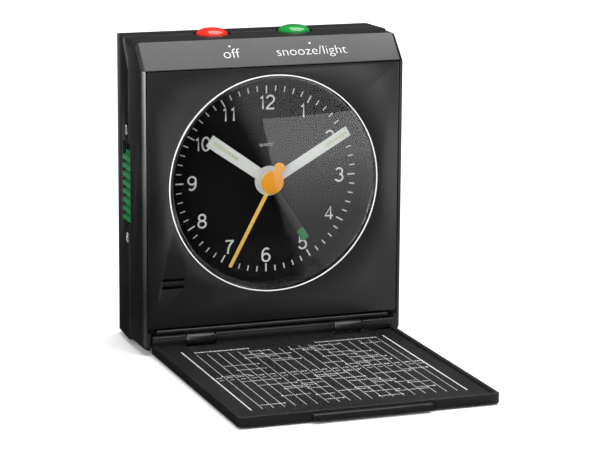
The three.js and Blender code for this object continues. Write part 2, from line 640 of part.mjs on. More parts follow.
// ---- gear train: every wheel is drawn about its own arbor, then placed ----
// A toothed disc with one tooth centred on the given angle, or a gap centred on it.
function gear(teeth, module, y0, y1, angle, gap = false) {
  const pitch = (2 * Math.PI) / teeth;
  const radius = (teeth * module) / 2;
  const start = THREE.MathUtils.degToRad(angle) + (gap ? pitch / 2 : 0);
  const points = [];
  for (let tooth = 0; tooth < teeth; tooth += 1) {
    for (const [share, r] of [[-0.24, radius - 1.2 * module], [-0.09, radius + 0.8 * module],
      [0.09, radius + 0.8 * module], [0.24, radius - 1.2 * module]]) {
      const turn = start + (tooth + share) * pitch;
      points.push([r * Math.cos(turn), r * Math.sin(turn)]);
    }
  }
  return plateY(outline(points), y0, y1);
}

function meshModule(distance, teethA, teethB) {
  return (2 * distance) / (teethA + teethB);
}

function wheel(teeth, module, layer, angle, gap = false, extra = 0) {
  return gear(teeth, module, layer - extra, layer + WHEEL_THICKNESS + extra, angle, gap);
}

const motionModule = meshModule(MOTION_DISTANCE, TEETH.cannon, TEETH.motion);
const hourModule = meshModule(MOTION_DISTANCE, TEETH.motionPinion, TEETH.hour);
const alarmModule = meshModule(knobX, TEETH.alarm, TEETH.alarmSet);
const centreModule = meshModule(THIRD.distance, TEETH.thirdPinion, TEETH.centre);
const thirdModule = meshModule(THIRD.distance, TEETH.secondsPinion, TEETH.third);
const secondsModule = meshModule(INTERMEDIATE.distance, TEETH.intermediatePinion, TEETH.seconds);
const rotorModule = meshModule(ROTOR.distance, TEETH.rotor, TEETH.intermediate);

const LAYER = {};
for (const [name, offset] of Object.entries(LAYER_OFFSET)) LAYER[name] = movementFront + offset;
const plateBack = movementFront + MOVEMENT.wall;
const middlePlateY = movementFront + MIDDLE_PLATE_OFFSET;
const coverFront = plateBack + CLEARANCE;
const arborFront = movementFront + ARBOR_END_INSET;
const arborBack = movementBack - ARBOR_END_INSET;
const trainFront = middlePlateY + ARBOR_END_INSET;
const motionBack = middlePlateY + MIDDLE_PLATE_THICKNESS - ARBOR_END_INSET;
const knobFront = CASE_DEPTH - KNOB_SINK - KNOB_HEIGHT;
const knobArborBack = CASE_DEPTH - KNOB_SINK - KNOB_HEIGHT / 2;
const motionPlace = [MOTION_DISTANCE, 0];
const timeSetPlace = [knobX, 0];
const alarmSetPlace = [-knobX, 0];
const thirdPlace = onCircle(THIRD.distance, THIRD.angle);
const intermediatePlace = onCircle(INTERMEDIATE.distance, INTERMEDIATE.angle);
const rotorStep = onCircle(ROTOR.distance, ROTOR.angle);
const rotorPlace = [intermediatePlace[0] + rotorStep[0], intermediatePlace[1] + rotorStep[1]];

function arbor(y0, y1) {
  return rod(ARBOR, y0, y1, 0, 0, 10);
}

function wheelNode(name, body, [x, z], color) {
  add(face, name, body, color, 0.45, color === NATURAL ? 0 : 1).position.set(x, 0, z);
}

wheelNode("alarm_wheel", wheel(TEETH.alarm, alarmModule, LAYER.alarm, 180)
  .add(rod(alarmTube, handY("alarm"), LAYER.alarm + WHEEL_THICKNESS))
  .subtract(rod(alarmTubeBore, 0, FAR)), [0, 0], NATURAL);
wheelNode("hour_wheel", wheel(TEETH.hour, hourModule, LAYER.hour, 0)
  .add(rod(hourTube, handY("hour"), LAYER.hour + WHEEL_THICKNESS))
  .subtract(rod(hourTubeBore, 0, FAR)), [0, 0], NATURAL);
wheelNode("cannon_pinion", wheel(TEETH.cannon, motionModule, LAYER.motion, 0, true, PINION_EXTRA)
  .add(rod(minuteTube, handY("minute"), LAYER.centre + WHEEL_THICKNESS + PINION_EXTRA))
  .subtract(rod(secondsTube, 0, FAR)), [0, 0], BRASS);
wheelNode("motion_wheel", wheel(TEETH.motion, motionModule, LAYER.motion, 180)
  .add(wheel(TEETH.motionPinion, hourModule, LAYER.hour, 180, true, PINION_EXTRA))
  .add(rod(ARBOR + 0.4, LAYER.hour, LAYER.motion + WHEEL_THICKNESS))
  .add(arbor(arborFront, motionBack)), motionPlace, NATURAL);
wheelNode("time_set_arbor", wheel(TEETH.timeSet, motionModule, LAYER.motion, 180, true, PINION_EXTRA)
  .add(rod(KNOB_ARBOR, arborFront, knobArborBack)), timeSetPlace, NATURAL);
wheelNode("alarm_set_arbor", wheel(TEETH.alarmSet, alarmModule, LAYER.alarm, 0, true)
  .add(rod(KNOB_ARBOR, arborFront, knobArborBack)), alarmSetPlace, NATURAL);
wheelNode("centre_wheel", wheel(TEETH.centre, centreModule, LAYER.centre, THIRD.angle)
  .subtract(rod(minuteTube + RUNNING, 0, FAR)), [0, 0], BRASS);
wheelNode("seconds_wheel", wheel(TEETH.seconds, secondsModule, LAYER.seconds, INTERMEDIATE.angle)
  .add(wheel(TEETH.secondsPinion, thirdModule, LAYER.third, THIRD.angle, true))
  .add(rod(ARBOR + 0.3, LAYER.third, LAYER.seconds + WHEEL_THICKNESS))
  .add(rod(SECOND_ARBOR, handY("second") + HAND_THICKNESS + SECOND_HAND_SEAT, arborBack)), [0, 0], NATURAL);
wheelNode("third_wheel", wheel(TEETH.third, thirdModule, LAYER.third, THIRD.angle + 180)
  .add(wheel(TEETH.thirdPinion, centreModule, LAYER.centre, THIRD.angle + 180, true, PINION_EXTRA))
  .add(rod(ARBOR + 0.2, LAYER.centre, LAYER.third + WHEEL_THICKNESS))
  .add(arbor(trainFront, arborBack)), thirdPlace, NATURAL);
const inward = INTERMEDIATE.angle + 180;
wheelNode("intermediate_wheel", wheel(TEETH.intermediate, rotorModule, LAYER.rotor, ROTOR.angle)
  .add(wheel(TEETH.intermediatePinion, secondsModule, LAYER.seconds, inward, true, PINION_EXTRA))
  .add(rod(ARBOR + 0.4, LAYER.seconds, LAYER.rotor + WHEEL_THICKNESS))
  .add(arbor(trainFront, arborBack)), intermediatePlace, NATURAL);
wheelNode("rotor", wheel(TEETH.rotor, rotorModule, LAYER.rotor, ROTOR.angle + 180, true, PINION_EXTRA)
  .add(rod(2.2, LAYER.centre, LAYER.seconds + 0.5))
  .add(rod(ARBOR + 0.1, LAYER.seconds, LAYER.rotor + WHEEL_THICKNESS))
  .add(arbor(trainFront, arborBack)), rotorPlace, STEEL);

// ---- movement plates, coil and board ----
const movementOutline = (inset) => roundedRectangle(
  -MOVEMENT.halfWidth + inset, MOVEMENT.halfWidth - inset,
  movementBottom - DIAL_Z + inset, MOVEMENT.top - DIAL_Z - inset, MOVEMENT.corner);

function drill(plate, holes) {
  let drilled = plate;
  for (const [[x, z], radius] of holes) drilled = drilled.subtract(rod(radius, 0, FAR, x, z, 10));
  return drilled;
}

const arborHole = ARBOR + RUNNING;
const knobHole = KNOB_ARBOR + RUNNING;
const knobHoles = [[timeSetPlace, knobHole], [alarmSetPlace, knobHole]];
const trainHoles = [[thirdPlace, arborHole], [intermediatePlace, arborHole], [rotorPlace, arborHole]];

function movementFrontPlate() {
  let plate = plateY(movementOutline(0), movementFront, plateBack);
  for (const [x, earZ] of earPlaces) {
    const z = earZ - DIAL_Z;
    const inner = Math.sign(x) * (MOVEMENT.halfWidth - 1);
    plate = plate.add(rod(MOVEMENT_EAR.radius, movementFront, plateBack, x, z, 20));
    plate = plate.add(block(Math.min(x, inner), Math.max(x, inner), movementFront, plateBack,
      z - MOVEMENT_EAR.radius, z + MOVEMENT_EAR.radius));
    plate = plate.subtract(rod(SCREW_RADIUS + RUNNING, 0, FAR, x, z, 16));
  }
  plate = plate.subtract(rod(alarmTube + RUNNING, 0, FAR));
  return drill(plate, [...knobHoles, [motionPlace, arborHole]]);
}

function movementMiddlePlate() {
  const back = middlePlateY + MIDDLE_PLATE_THICKNESS;
  const plate = plateY(movementOutline(MOVEMENT.wall + CLEARANCE), middlePlateY, back);
  const drilled = drill(plate, [...knobHoles, ...trainHoles, [motionPlace, arborHole]]);
  return drilled.subtract(rod(minuteTube + RUNNING, 0, FAR));
}

function movementBackCover() {
  const cup = plateY(movementOutline(0), coverFront, movementBack)
    .subtract(plateY(movementOutline(MOVEMENT.wall), 0, movementBack - MOVEMENT.wall));
  return drill(cup, [...knobHoles, ...trainHoles, [[0, 0], SECOND_ARBOR + RUNNING]]);
}

add(face, "movement_front_plate", movementFrontPlate(), NATURAL, 0.5);
add(face, "movement_middle_plate", movementMiddlePlate(), NATURAL, 0.5);
add(face, "movement_back_cover", movementBackCover(), 0x303235, 0.5);

for (const [x, z, place] of earPlaces) {
  const fastener = screw(ledgeBack + 2 * CLEARANCE, plateBack + RUNNING);
  add(clock, `movement_screw_${place}`, fastener, STEEL, 0.35, 1).position.set(x, 0, z);
}

const coilY = movementFront + COIL.offset;
const coilZ = movementBottom + MOVEMENT.wall + COIL.rise + COIL.radius - DIAL_Z;

function statorPlate() {
  const coreHalf = COIL.core / 2;
  const y0 = coilY - coreHalf;
  const y1 = coilY + coreHalf;
  const [rotorX, rotorZ] = rotorPlace;
  const left = COIL.x0 - STATOR.endReach;
  const barZ = coilZ + COIL.radius + STATOR.barGap;
  const barTop = barZ + STATOR.barHeight;
  const core = block(left, rotorX, y0, y1, coilZ - coreHalf, coilZ + coreHalf);
  const leg = block(left, left + STATOR.legWidth, y0, y1, coilZ - coreHalf, barTop);
  const bar = block(left, rotorX - STATOR.ring, y0, y1, barZ, barTop);
  return rod(STATOR.hole + STATOR.ring, y0, y1, rotorX, rotorZ).add(core).add(leg).add(bar)
    .subtract(rod(STATOR.hole, 0, FAR, rotorX, rotorZ));
}

function coilBody() {
  const { x0, x1, radius, flange } = COIL;
  const room = COIL.core / 2 + CLEARANCE;
  return rodX(radius - flange / 2, x0, x1, coilY, coilZ)
    .add(rodX(radius, x0, x0 + flange, coilY, coilZ))
    .add(rodX(radius, x1 - flange, x1, coilY, coilZ))
    .subtract(block(-FAR, FAR, coilY - room, coilY + room, coilZ - room, coilZ + room));
}

add(face, "stator", statorPlate(), STEEL, 0.4, 1);
add(face, "coil", coilBody(), 0xb5622c, 0.4, 0.6);

const boardBottom = MOVEMENT.top + CLEARANCE;
const boardTop = boardBottom + BOARD_THICKNESS;
const boardFront = coverFront + CLEARANCE;
add(clock, "circuit_board", block(-MOVEMENT.halfWidth, MOVEMENT.halfWidth,
  boardFront, movementBack - CLEARANCE, boardBottom, boardTop), 0x1f5a38, 0.5);

// ---- buttons and their switches ----
const switchTop = boardTop + CLEARANCE + SWITCH_HEIGHT;

function pushButton() {
  const flangeTop = innerTop - CLEARANCE;
  const flangeLow = flangeTop - BUTTON_FLANGE_THICKNESS;
  const flangeRadius = BUTTON_RADIUS + BUTTON_FLANGE;
  const shoulder = CASE_TOP + RUNNING;
  const domeTop = CASE_TOP + BUTTON_DOME;
  const stemEnd = switchTop + BUTTON_TRAVEL + RUNNING;
  const profile = [
    [0, stemEnd], [BUTTON_STEM_RADIUS, stemEnd], [BUTTON_STEM_RADIUS, flangeLow], [flangeRadius, flangeLow],
    [flangeRadius, flangeTop], [BUTTON_RADIUS, flangeTop],
  ];
  const rings = 3;
  for (let i = 0; i <= rings; i += 1) {
    const angle = (i / rings) * (Math.PI / 2);
    profile.push([BUTTON_RADIUS * Math.cos(angle), shoulder + (domeTop - shoulder) * Math.sin(angle)]);
  }
  profile[profile.length - 1][0] = 0;
  return turned(profile, 24).rotate([90, 0, 0]);
}

for (const [name, x, color] of [["off", -BUTTON_X, RED], ["snooze", BUTTON_X, GREEN]]) {
  add(clock, `${name}_button`, pushButton(), color, 0.15).position.set(x, BUTTON_Y, 0);
  const reach = SWITCH_SIZE / 2;
  const seat = boardTop + CLEARANCE;
  const bodyTop = switchTop - SWITCH_PLUNGER.height;
  const tactSwitch = block(x - reach, x + reach, BUTTON_Y - reach, BUTTON_Y + reach, seat, bodyTop)
    .add(rodZ(SWITCH_PLUNGER.radius, seat + OVERLAP, switchTop, x, BUTTON_Y, 20));
  add(clock, `${name}_switch`, tactSwitch, 0x4a4a4a, 0.5);
}

// ---- alarm slider on the left side, stored at its lower end ----
const flangeX = -half + REAR_TAPER + SHELL_WALL + CLEARANCE;
const forkEndX = flangeX + SLIDER_FLANGE + SLIDER_FORK.length;

function alarmSlider() {
  const { y0, y1, z0, height } = SLIDER_SLOT;
  const outerX = -half + SLIDER_FACE_INSET;
  const low = z0 + CLEARANCE;
  const high = z0 + height - CLEARANCE - SLIDER_TRAVEL;
  const pitch = (high - low) / SLIDER_RIBS;
  let body = block(outerX, flangeX + OVERLAP, y0 + CLEARANCE, y1 - CLEARANCE, low, high);
  for (let rib = 1; rib < SLIDER_RIBS; rib += 1) {
    const z = low + rib * pitch;
    body = body.subtract(block(-FAR, outerX + SLIDER_RIB_DEPTH, 0, FAR, z - pitch / 4, z + pitch / 4));
  }
  const flangeBack = flangeX + SLIDER_FLANGE;
  const { front, back, low: forkLow, high: forkHigh, length } = SLIDER_FORK;
  return body.add(block(flangeX, flangeBack, y0 - SLIDER_FLANGE, y1 + SLIDER_FLANGE,
    z0 - SLIDER_TRAVEL - SLIDER_FLANGE, z0 + height + SLIDER_FLANGE / 2))
    .add(block(flangeBack - OVERLAP, flangeBack + length, front, back, forkLow, forkHigh));
}

add(clock, "alarm_slider", alarmSlider(), GREEN, 0.4);
add(clock, "alarm_switch", block(forkEndX + CLEARANCE, -MOVEMENT.halfWidth - CLEARANCE,
  SLIDE_SWITCH.front, SLIDE_SWITCH.back, SLIDE_SWITCH.low, SLIDE_SWITCH.high), 0x3a3a3a, 0.5);

// ---- set knobs on the back ----
function setKnob() {
  const points = [];
  for (let i = 0; i < 2 * KNOB_FLUTES; i += 1) {
    const angle = (i * Math.PI) / KNOB_FLUTES;
    const radius = i % 2 ? KNOB_RADIUS - KNOB_FLUTE_DEPTH : KNOB_RADIUS;
    points.push([radius * Math.cos(angle), radius * Math.sin(angle)]);
  }
  return plateY(outline(points), knobFront, knobFront + KNOB_HEIGHT)
    .subtract(rod(KNOB_ARBOR + RUNNING, 0, knobArborBack + RUNNING));
}

add(face, "time_set_knob", setKnob(), 0x2a2a2b, 0.5).position.set(timeSetPlace[0], 0, 0);
add(face, "alarm_set_knob", setKnob(), 0x2a2a2b, 0.5).position.set(alarmSetPlace[0], 0, 0);

// ---- hinge pin and lid, the lid drawn about the hinge axis as it lies open ----
const hinge = new THREE.Group();
hinge.position.set(0, 0, HINGE_Z);
clock.add(hinge);
const lidHalf = recessHalf - LID_SIDE_GAP;
add(hinge, "hinge_pin", rodX(HINGE_PIN_RADIUS, -lidHalf, lidHalf, 0, 0), STEEL, 0.3, 1);

function lid() {
  const surface = -LID_SURFACE_DROP;
  const underside = surface - LID_THICKNESS;
  const lipTop = surface + LID_LIP_HEIGHT;
  const radius = LID_CORNER_RADIUS;
  let body = plateZ(roundedRectangle(-lidHalf, lidHalf, -lidReach, LID_REAR_Y, radius), underside, lipTop, 4);
  const innerHalf = lidHalf - LID_LIP;
  const tray = roundedRectangle(-innerHalf, innerHalf, -lidReach + LID_LIP, FAR, radius / 2);
  body = body.subtract(plateZ(tray, surface, FAR, 3));
  body = body.subtract(block(-FAR, FAR, -KNUCKLE_RADIUS, FAR, surface, FAR));

  const tabLow = underside + LID_TAB.bottom;
  body = body.add(block(-LID_TAB.width / 2, LID_TAB.width / 2, -lidReach - LID_TAB.reach, -lidReach + 0.1,
    tabLow, tabLow + LID_TAB.height));

  const inner = BARREL_INNER_X - HINGE_SIDE_GAP;
  const outer = BARREL_OUTER_X + HINGE_SIDE_GAP;
  for (const [x0, x1] of [[-lidHalf, -outer], [-inner, inner], [outer, lidHalf]]) {
    body = body.add(rodX(KNUCKLE_RADIUS, x0, x1, 0, 0, 20));
    body = body.add(block(x0, x1, -KNUCKLE_WEB, LID_REAR_Y, surface - OVERLAP, 0));
    body = body.add(block(x0, x1, -KNUCKLE_WEB, 0, -OVERLAP, KNUCKLE_WEB));
  }
  for (const [x0, x1] of [[-outer, -inner], [inner, outer]]) {
    const pocketFront = -BARREL_RADIUS - POCKET_FRONT_GAP;
    const pocketFloor = -BARREL_RADIUS - POCKET_FLOOR_GAP;
    body = body.subtract(block(x0, x1, pocketFront, FAR, pocketFloor, FAR));
  }
  return body.subtract(rodX(HINGE_PIN_RADIUS + RUNNING, -FAR, FAR, 0, 0));
}

add(hinge, "lid", lid(), BLACK, 0.5);

// The part's origin is on the table, under the middle of the clock with its lid open.
clock.position.y = (lidReach + LID_TAB.reach - CASE_DEPTH) / 2;

export default clock;
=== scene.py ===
"""Folding travel alarm clock: fine surfaces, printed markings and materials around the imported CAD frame."""

import math
import random

import bmesh
import bpy
from mathutils import Matrix, Vector


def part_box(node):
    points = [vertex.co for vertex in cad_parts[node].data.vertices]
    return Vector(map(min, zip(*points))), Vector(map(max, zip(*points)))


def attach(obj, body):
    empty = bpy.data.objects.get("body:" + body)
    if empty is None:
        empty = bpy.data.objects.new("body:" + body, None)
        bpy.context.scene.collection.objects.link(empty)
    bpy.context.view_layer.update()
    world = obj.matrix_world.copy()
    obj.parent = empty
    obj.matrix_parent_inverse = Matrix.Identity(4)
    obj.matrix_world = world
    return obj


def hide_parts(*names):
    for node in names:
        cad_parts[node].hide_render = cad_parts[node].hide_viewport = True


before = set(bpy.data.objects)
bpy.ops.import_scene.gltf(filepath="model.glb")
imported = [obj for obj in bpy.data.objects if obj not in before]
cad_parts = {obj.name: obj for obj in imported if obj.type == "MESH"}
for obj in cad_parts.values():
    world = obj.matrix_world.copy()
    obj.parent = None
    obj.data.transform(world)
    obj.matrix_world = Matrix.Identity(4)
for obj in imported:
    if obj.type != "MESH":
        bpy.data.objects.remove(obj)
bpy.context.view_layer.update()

MM = 0.001

# ---- places that come from the frame, in millimetres ----
# The design frame has x = 0 at the middle, y = 0 at the face panel and z = 0 at the table.
FACE_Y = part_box("face_panel")[0].y / MM


def extent(node):
    """Lowest and highest corner of a CAD node in the design frame, in millimetres."""
    shift = Vector((0, FACE_Y, 0))
    return [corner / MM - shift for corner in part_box(node)]


CASE_LOW, CASE_HIGH = extent("front_frame")
CASE_BACK = extent("rear_case")[1].y
PANEL_LOW, PANEL_HIGH = extent("face_panel")
LENS_LOW, LENS_HIGH = extent("lens")
RING_LOW, RING_HIGH = extent("dial_ring")
DIAL_LOW, DIAL_HIGH = extent("dial")
LID_LOW, LID_HIGH = extent("lid")
DOOR_LOW, DOOR_HIGH = extent("battery_door")
HALF = CASE_HIGH.x
TOP = CASE_HIGH.z
BOTTOM = CASE_LOW.z
DIAL_Z = (DIAL_LOW.z + DIAL_HIGH.z) / 2
HINGE_Z = sum(corner.z for corner in extent("hinge_pin")) / 2

# ---- sizes of the visible surfaces, in millimetres ----
BAND = 6
REAR_TAPER = 1
WALL = 1.6
SEAM_Y = 11
SEAM_LEAN = 5.7
SEAM_RISE = TOP - 7.3
SEAM_GAP = 0.16
EDGE = {"rear": 2, "corner": 1.6, "front": 1.3, "sill": 0.5, "band": 0.28}
PANEL_DEPTH = 1.5
POCKET = 31.9
RECESS = {"half": 31.1, "depth": 3.2, "top": PANEL_LOW.z}
WELL_INNER = 24.8
WELL_OUTER = DIAL_HIGH.x
PIN = 0.6
BARREL = {"inner": 15.3, "outer": 22.4, "radius": 1.4}
BAR = {"radius": 0.58, "rise": 2}
SOUND = {"x": -25.5, "z": 17.3, "length": 5.5, "height": 0.75, "spacing": 1.8}
BUTTON = {"x": 10.5, "y": 16.3, "radius": 3.9, "dish": 4.85, "depth": 0.8, "gap": 0.15}
SLOT = {"y0": 10, "y1": 17.9, "z0": 29.9, "z1": 49.6, "depth": 4.8}
KNOB = {"x": 12, "radius": 5.2, "dish": 6, "depth": 2.1, "flutes": 24}
SCREW = {"x": HALF - 4.6, "low": BOTTOM + 4.4, "high": TOP - 5, "head": 1.6, "seat": 2, "shank": 0.8}
FOOT = {"x": 26, "front": 8, "rear": CASE_BACK - 5, "well": 2.9, "depth": 0.8}
INDEX = {"half": 0.2, "low": 1.2, "high": 3.2, "depth": 0.75}
PRINT = 0.02  # thickness of printed ink
THINNING = 0.03  # how far printed letters are drawn in from the font's outline
TINY = 1e-4
BITE = 0.3  # how far joined shapes run into each other
FAR = 60  # past the sides and the back of the case
SMOOTH_ANGLE = 32  # degrees


# ---- modelling helpers; every place and size is given in millimetres of the design frame ----
def place(x, y, z):
    return Vector((x, y + FACE_Y, z)) * MM


def design(point):
    """The design frame's millimetres, from a place in the scene."""
    return point / MM - Vector((0, FACE_Y, 0))


def focus(piece):
    bpy.ops.object.select_all(action="DESELECT")
    piece.select_set(True)
    bpy.context.view_layer.objects.active = piece


def settle(piece):
    """Puts the piece's place, turn and size into its mesh."""
    focus(piece)
    bpy.ops.object.transform_apply(location=True, rotation=True, scale=True)
    return piece


def fresh(name):
    piece = bpy.context.object
    piece.name = name
    piece.data.name = name
    return piece


def box(name, low, high):
    low, high = place(*low), place(*high)
    bpy.ops.object.select_all(action="DESELECT")
    bpy.ops.mesh.primitive_cube_add(size=1, location=(low + high) / 2)
    piece = fresh(name)
    piece.scale = high - low
    return settle(piece)


TURNS = {"X": (0, math.pi / 2, 0), "Y": (math.pi / 2, 0, 0), "Z": (0, 0, 0)}


def rod(name, radius, start, end, axis="Y", sides=64, end_radius=None):
    """A round bar between two points on a line along the axis, tapered where end_radius is given."""
    start, end = place(*start), place(*end)
    tip = radius if end_radius is None else end_radius
    # A cone's first radius is at its local bottom, which a turn about X puts at high y.
    first, last = (tip, radius) if axis == "Y" else (radius, tip)
    bpy.ops.object.select_all(action="DESELECT")
    bpy.ops.mesh.primitive_cone_add(
        vertices=sides, radius1=first * MM, radius2=last * MM, depth=(end - start).length,
        location=(start + end) / 2, rotation=TURNS[axis])
    return settle(fresh(name))


def disc(name, radius, y0, y1, x=0, z=DIAL_Z, sides=64):
    return rod(name, radius, (x, y0, z), (x, y1, z), sides=sides)


def post(name, radius, x, y, z0, z1, sides, end_radius=None):
    return rod(name, radius, (x, y, z0), (x, y, z1), "Z", sides, end_radius)


def axle(name, radius, x0, x1, sides):
    return rod(name, radius, (x0, 0, HINGE_Z), (x1, 0, HINGE_Z), "X", sides)


def combine(piece, tools, operation):
    for tool in tools:
        focus(piece)
        step = piece.modifiers.new("join", "BOOLEAN")
        step.operation = operation
        step.solver = "EXACT"
        step.object = tool
        bpy.ops.object.modifier_apply(modifier=step.name)
        bpy.data.objects.remove(tool)
    return piece


def cut(piece, *tools):
    return combine(piece, tools, "DIFFERENCE")


def fuse(piece, *tools):
    return combine(piece, tools, "UNION")


def common(piece, *tools):
    return combine(piece, tools, "INTERSECT")


def pick(piece, kind, test):
    """Enters edit mode with the vertices, edges or faces that pass the test selected."""
    focus(piece)
    bpy.context.tool_settings.mesh_select_mode = [kind == each for each in ("VERT", "EDGE", "FACE")]
    mesh = piece.data
    points = [design(vertex.co) for vertex in mesh.vertices]
    for group in (mesh.vertices, mesh.edges, mesh.polygons):
        group.foreach_set("select", [False] * len(group))
    if kind == "VERT":
        for vertex, point in zip(mesh.vertices, points):
            vertex.select = bool(test(point))
    if kind == "EDGE":
        for edge in mesh.edges:
            edge.select = bool(test(*[points[i] for i in edge.vertices]))
    if kind == "FACE":
        for face in mesh.polygons:
            face.select = bool(test(design(face.center), face.normal))
    bpy.ops.object.mode_set(mode="EDIT")


def leave():
    bpy.ops.object.mode_set(mode="OBJECT")


def round_edges(piece, test, width, segments=3):
    pick(piece, "EDGE", test)
    bpy.ops.mesh.bevel(offset=width * MM, segments=segments, affect="EDGES", clamp_overlap=True)
    leave()
    return piece


def soften(piece, width, segments=2, angle=40):
    """Rounds every edge that is sharper than the angle."""
    focus(piece)
    step = piece.modifiers.new("soft edges", "BEVEL")
    step.width = width * MM
    step.segments = segments
    step.limit_method = "ANGLE"
    step.angle_limit = math.radians(angle)
    bpy.ops.object.modifier_apply(modifier=step.name)
    return piece


def near(value, target, slack=0.01):
    return abs(value - target) < slack


# Tests that pick edges by where they run.
def along_y(a, b):
    return near(a.x, b.x) and near(a.z, b.z)


def along_z(a, b):
    return near(a.x, b.x) and near(a.y, b.y)


def along_x(y, z):
    return lambda a, b: all(near(p.y, y) and near(p.z, z) for p in (a, b))


def rim_at(y):
    return lambda a, b: near(a.y, y) and near(b.y, y)


def join(name, pieces):
    focus(pieces[0])
    for piece in pieces:
        piece.select_set(True)
    bpy.ops.object.join()
    return fresh(name)


def finish_piece(piece, body, finish, slot, *nodes):
    """Smooths a piece, gives it its material and body, and hides the CAD nodes it replaces; the slot argument
    is not used.
    """
    focus(piece)
    bpy.ops.object.shade_smooth_by_angle(angle=math.radians(SMOOTH_ANGLE))
    piece.data.materials.clear()
    piece.data.materials.append(finish)
    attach(piece, body)
    if nodes:
        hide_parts(*nodes)
    return piece


def printed(piece):
    return finish_piece(piece, "case", FINISH["ink"], "hand_white")


# ---- shared shader groups ----
def new_group(name, inputs, outputs):
    group = bpy.data.node_groups.new(name, "ShaderNodeTree")
    for label, kind, value in inputs:
        socket = group.interface.new_socket(label, in_out="INPUT", socket_type=kind)
        socket.default_value = value
    for label, kind in outputs:
        group.interface.new_socket(label, in_out="OUTPUT", socket_type=kind)
    return group, group.nodes.new("NodeGroupInput"), group.nodes.new("NodeGroupOutput")


def node(tree, kind, **settings):
    made = tree.nodes.new(kind)
    for key, value in settings.items():
        setattr(made, key, value)
    return made


def math_node(tree, operation, first, second=None, third=None, clamp=False):
    made = node(tree, "ShaderNodeMath", operation=operation, use_clamp=clamp)
    for socket, value in zip(made.inputs, (first, second, third)):
        if value is None:
            continue
        if isinstance(value, (int, float)):
            socket.default_value = value
        else:
            tree.links.new(value, socket)
    return made.outputs[0]


def spread(tree, value, low, high, to_low=0.0, to_high=1.0):
    made = node(tree, "ShaderNodeMapRange", clamp=True)
    tree.links.new(value, made.inputs["Value"])
    for label, number in (("From Min", low), ("From Max", high), ("To Min", to_low), ("To Max", to_high)):
        made.inputs[label].default_value = number
    return made.outputs["Result"]


def noise(tree, scale, detail=2.0, roughness=0.5):
    """Noise in object space; scale is in cycles per metre, a number or a socket."""
    place_node = node(tree, "ShaderNodeTexCoord")
    made = node(tree, "ShaderNodeTexNoise")
    tree.links.new(place_node.outputs["Object"], made.inputs["Vector"])
    if isinstance(scale, (int, float)):
        made.inputs["Scale"].default_value = scale
    else:
        tree.links.new(scale, made.inputs["Scale"])
    made.inputs["Detail"].default_value = detail
    made.inputs["Roughness"].default_value = roughness
    return made.outputs["Fac"]


def make_grain():
    """Spark-eroded mould texture: small pits and pimples, with a slower unevenness under them."""
    tree, given, out = new_group(
        "mould_grain",
        [("Scale", "NodeSocketFloat", 5000.0)],
        [("Height", "NodeSocketFloat"), ("Tone", "NodeSocketFloat")])
    fine = noise(tree, given.outputs["Scale"], 3.0, 0.6)
    slow_scale = math_node(tree, "MULTIPLY", given.outputs["Scale"], 0.22)
    slow = noise(tree, slow_scale, 1.0)
    height = math_node(tree, "MULTIPLY_ADD", slow, 0.35, fine)
    tree.links.new(height, out.inputs["Height"])
    tree.links.new(spread(tree, fine, 0.35, 0.68), out.inputs["Tone"])
    return tree


def make_wear():
    """Mask of the edges that hands and pockets polish, broken up so that it isn't an even line."""
    tree, given, out = new_group(
        "edge_wear",
        [("Reach", "NodeSocketFloat", 0.0003), ("Break", "NodeSocketFloat", 900.0)],
        [("Mask", "NodeSocketFloat")])
    rounded = node(tree, "ShaderNodeBevel", samples=4)
    tree.links.new(given.outputs["Reach"], rounded.inputs["Radius"])
    flat = node(tree, "ShaderNodeNewGeometry")
    facing = node(tree, "ShaderNodeVectorMath", operation="DOT_PRODUCT")
    tree.links.new(rounded.outputs["Normal"], facing.inputs[0])
    tree.links.new(flat.outputs["Normal"], facing.inputs[1])
    edge = spread(tree, facing.outputs["Value"], 0.995, 0.86)
    broken = spread(tree, noise(tree, given.outputs["Break"], 3.0), 0.35, 0.6, 0.35, 1.0)
    tree.links.new(math_node(tree, "MULTIPLY", edge, broken, clamp=True), out.inputs["Mask"])
    return tree


def make_drift():
    """Slow differences in tone and gloss across a moulding, from -1 to 1."""
    tree, given, out = new_group(
        "tone_drift",
        [("Scale", "NodeSocketFloat", 60.0)],
        [("Value", "NodeSocketFloat")])
    slow = noise(tree, given.outputs["Scale"])
    tree.links.new(spread(tree, slow, 0.3, 0.7, -1.0, 1.0), out.inputs["Value"])
    return tree


def make_dust():
    """Mask of the few specks that settle on upward faces."""
    tree, given, out = new_group(
        "settled_dust",
        [("Scale", "NodeSocketFloat", 1500.0), ("Amount", "NodeSocketFloat", 0.5)],
        [("Mask", "NodeSocketFloat")])
    facing = node(tree, "ShaderNodeNewGeometry")
    split = node(tree, "ShaderNodeSeparateXYZ")
    tree.links.new(facing.outputs["Normal"], split.inputs[0])
    up = spread(tree, split.outputs["Z"], 0.2, 0.95)
    specks = spread(tree, noise(tree, given.outputs["Scale"]), 0.69, 0.76)
    lying = math_node(tree, "MULTIPLY", specks, up)
    mask = math_node(tree, "MULTIPLY", lying, given.outputs["Amount"], clamp=True)
    tree.links.new(mask, out.inputs["Mask"])
    return tree


GRAIN = make_grain()
WEAR = make_wear()
DRIFT = make_drift()
DUST = make_dust()


def use(tree, group, **values):
    made = node(tree, "ShaderNodeGroup", node_tree=group)
    for label, value in values.items():
        made.inputs[label].default_value = value
    return made.outputs


def blend_colours(tree, share, first, second):
    made = node(tree, "ShaderNodeMix", data_type="RGBA", clamp_factor=True)
    tree.links.new(share, made.inputs[0])
    for socket, value in ((made.inputs[6], first), (made.inputs[7], second)):
        if isinstance(value, tuple):
            socket.default_value = (*value, 1)
        else:
            tree.links.new(value, socket)
    return made.outputs[2]


# ---- materials; colours are linear ----
GLOSS_DRIFT = 0.05
COAT_ROUGHNESS = 0.08
DUST_COLOUR = (0.32, 0.31, 0.29)


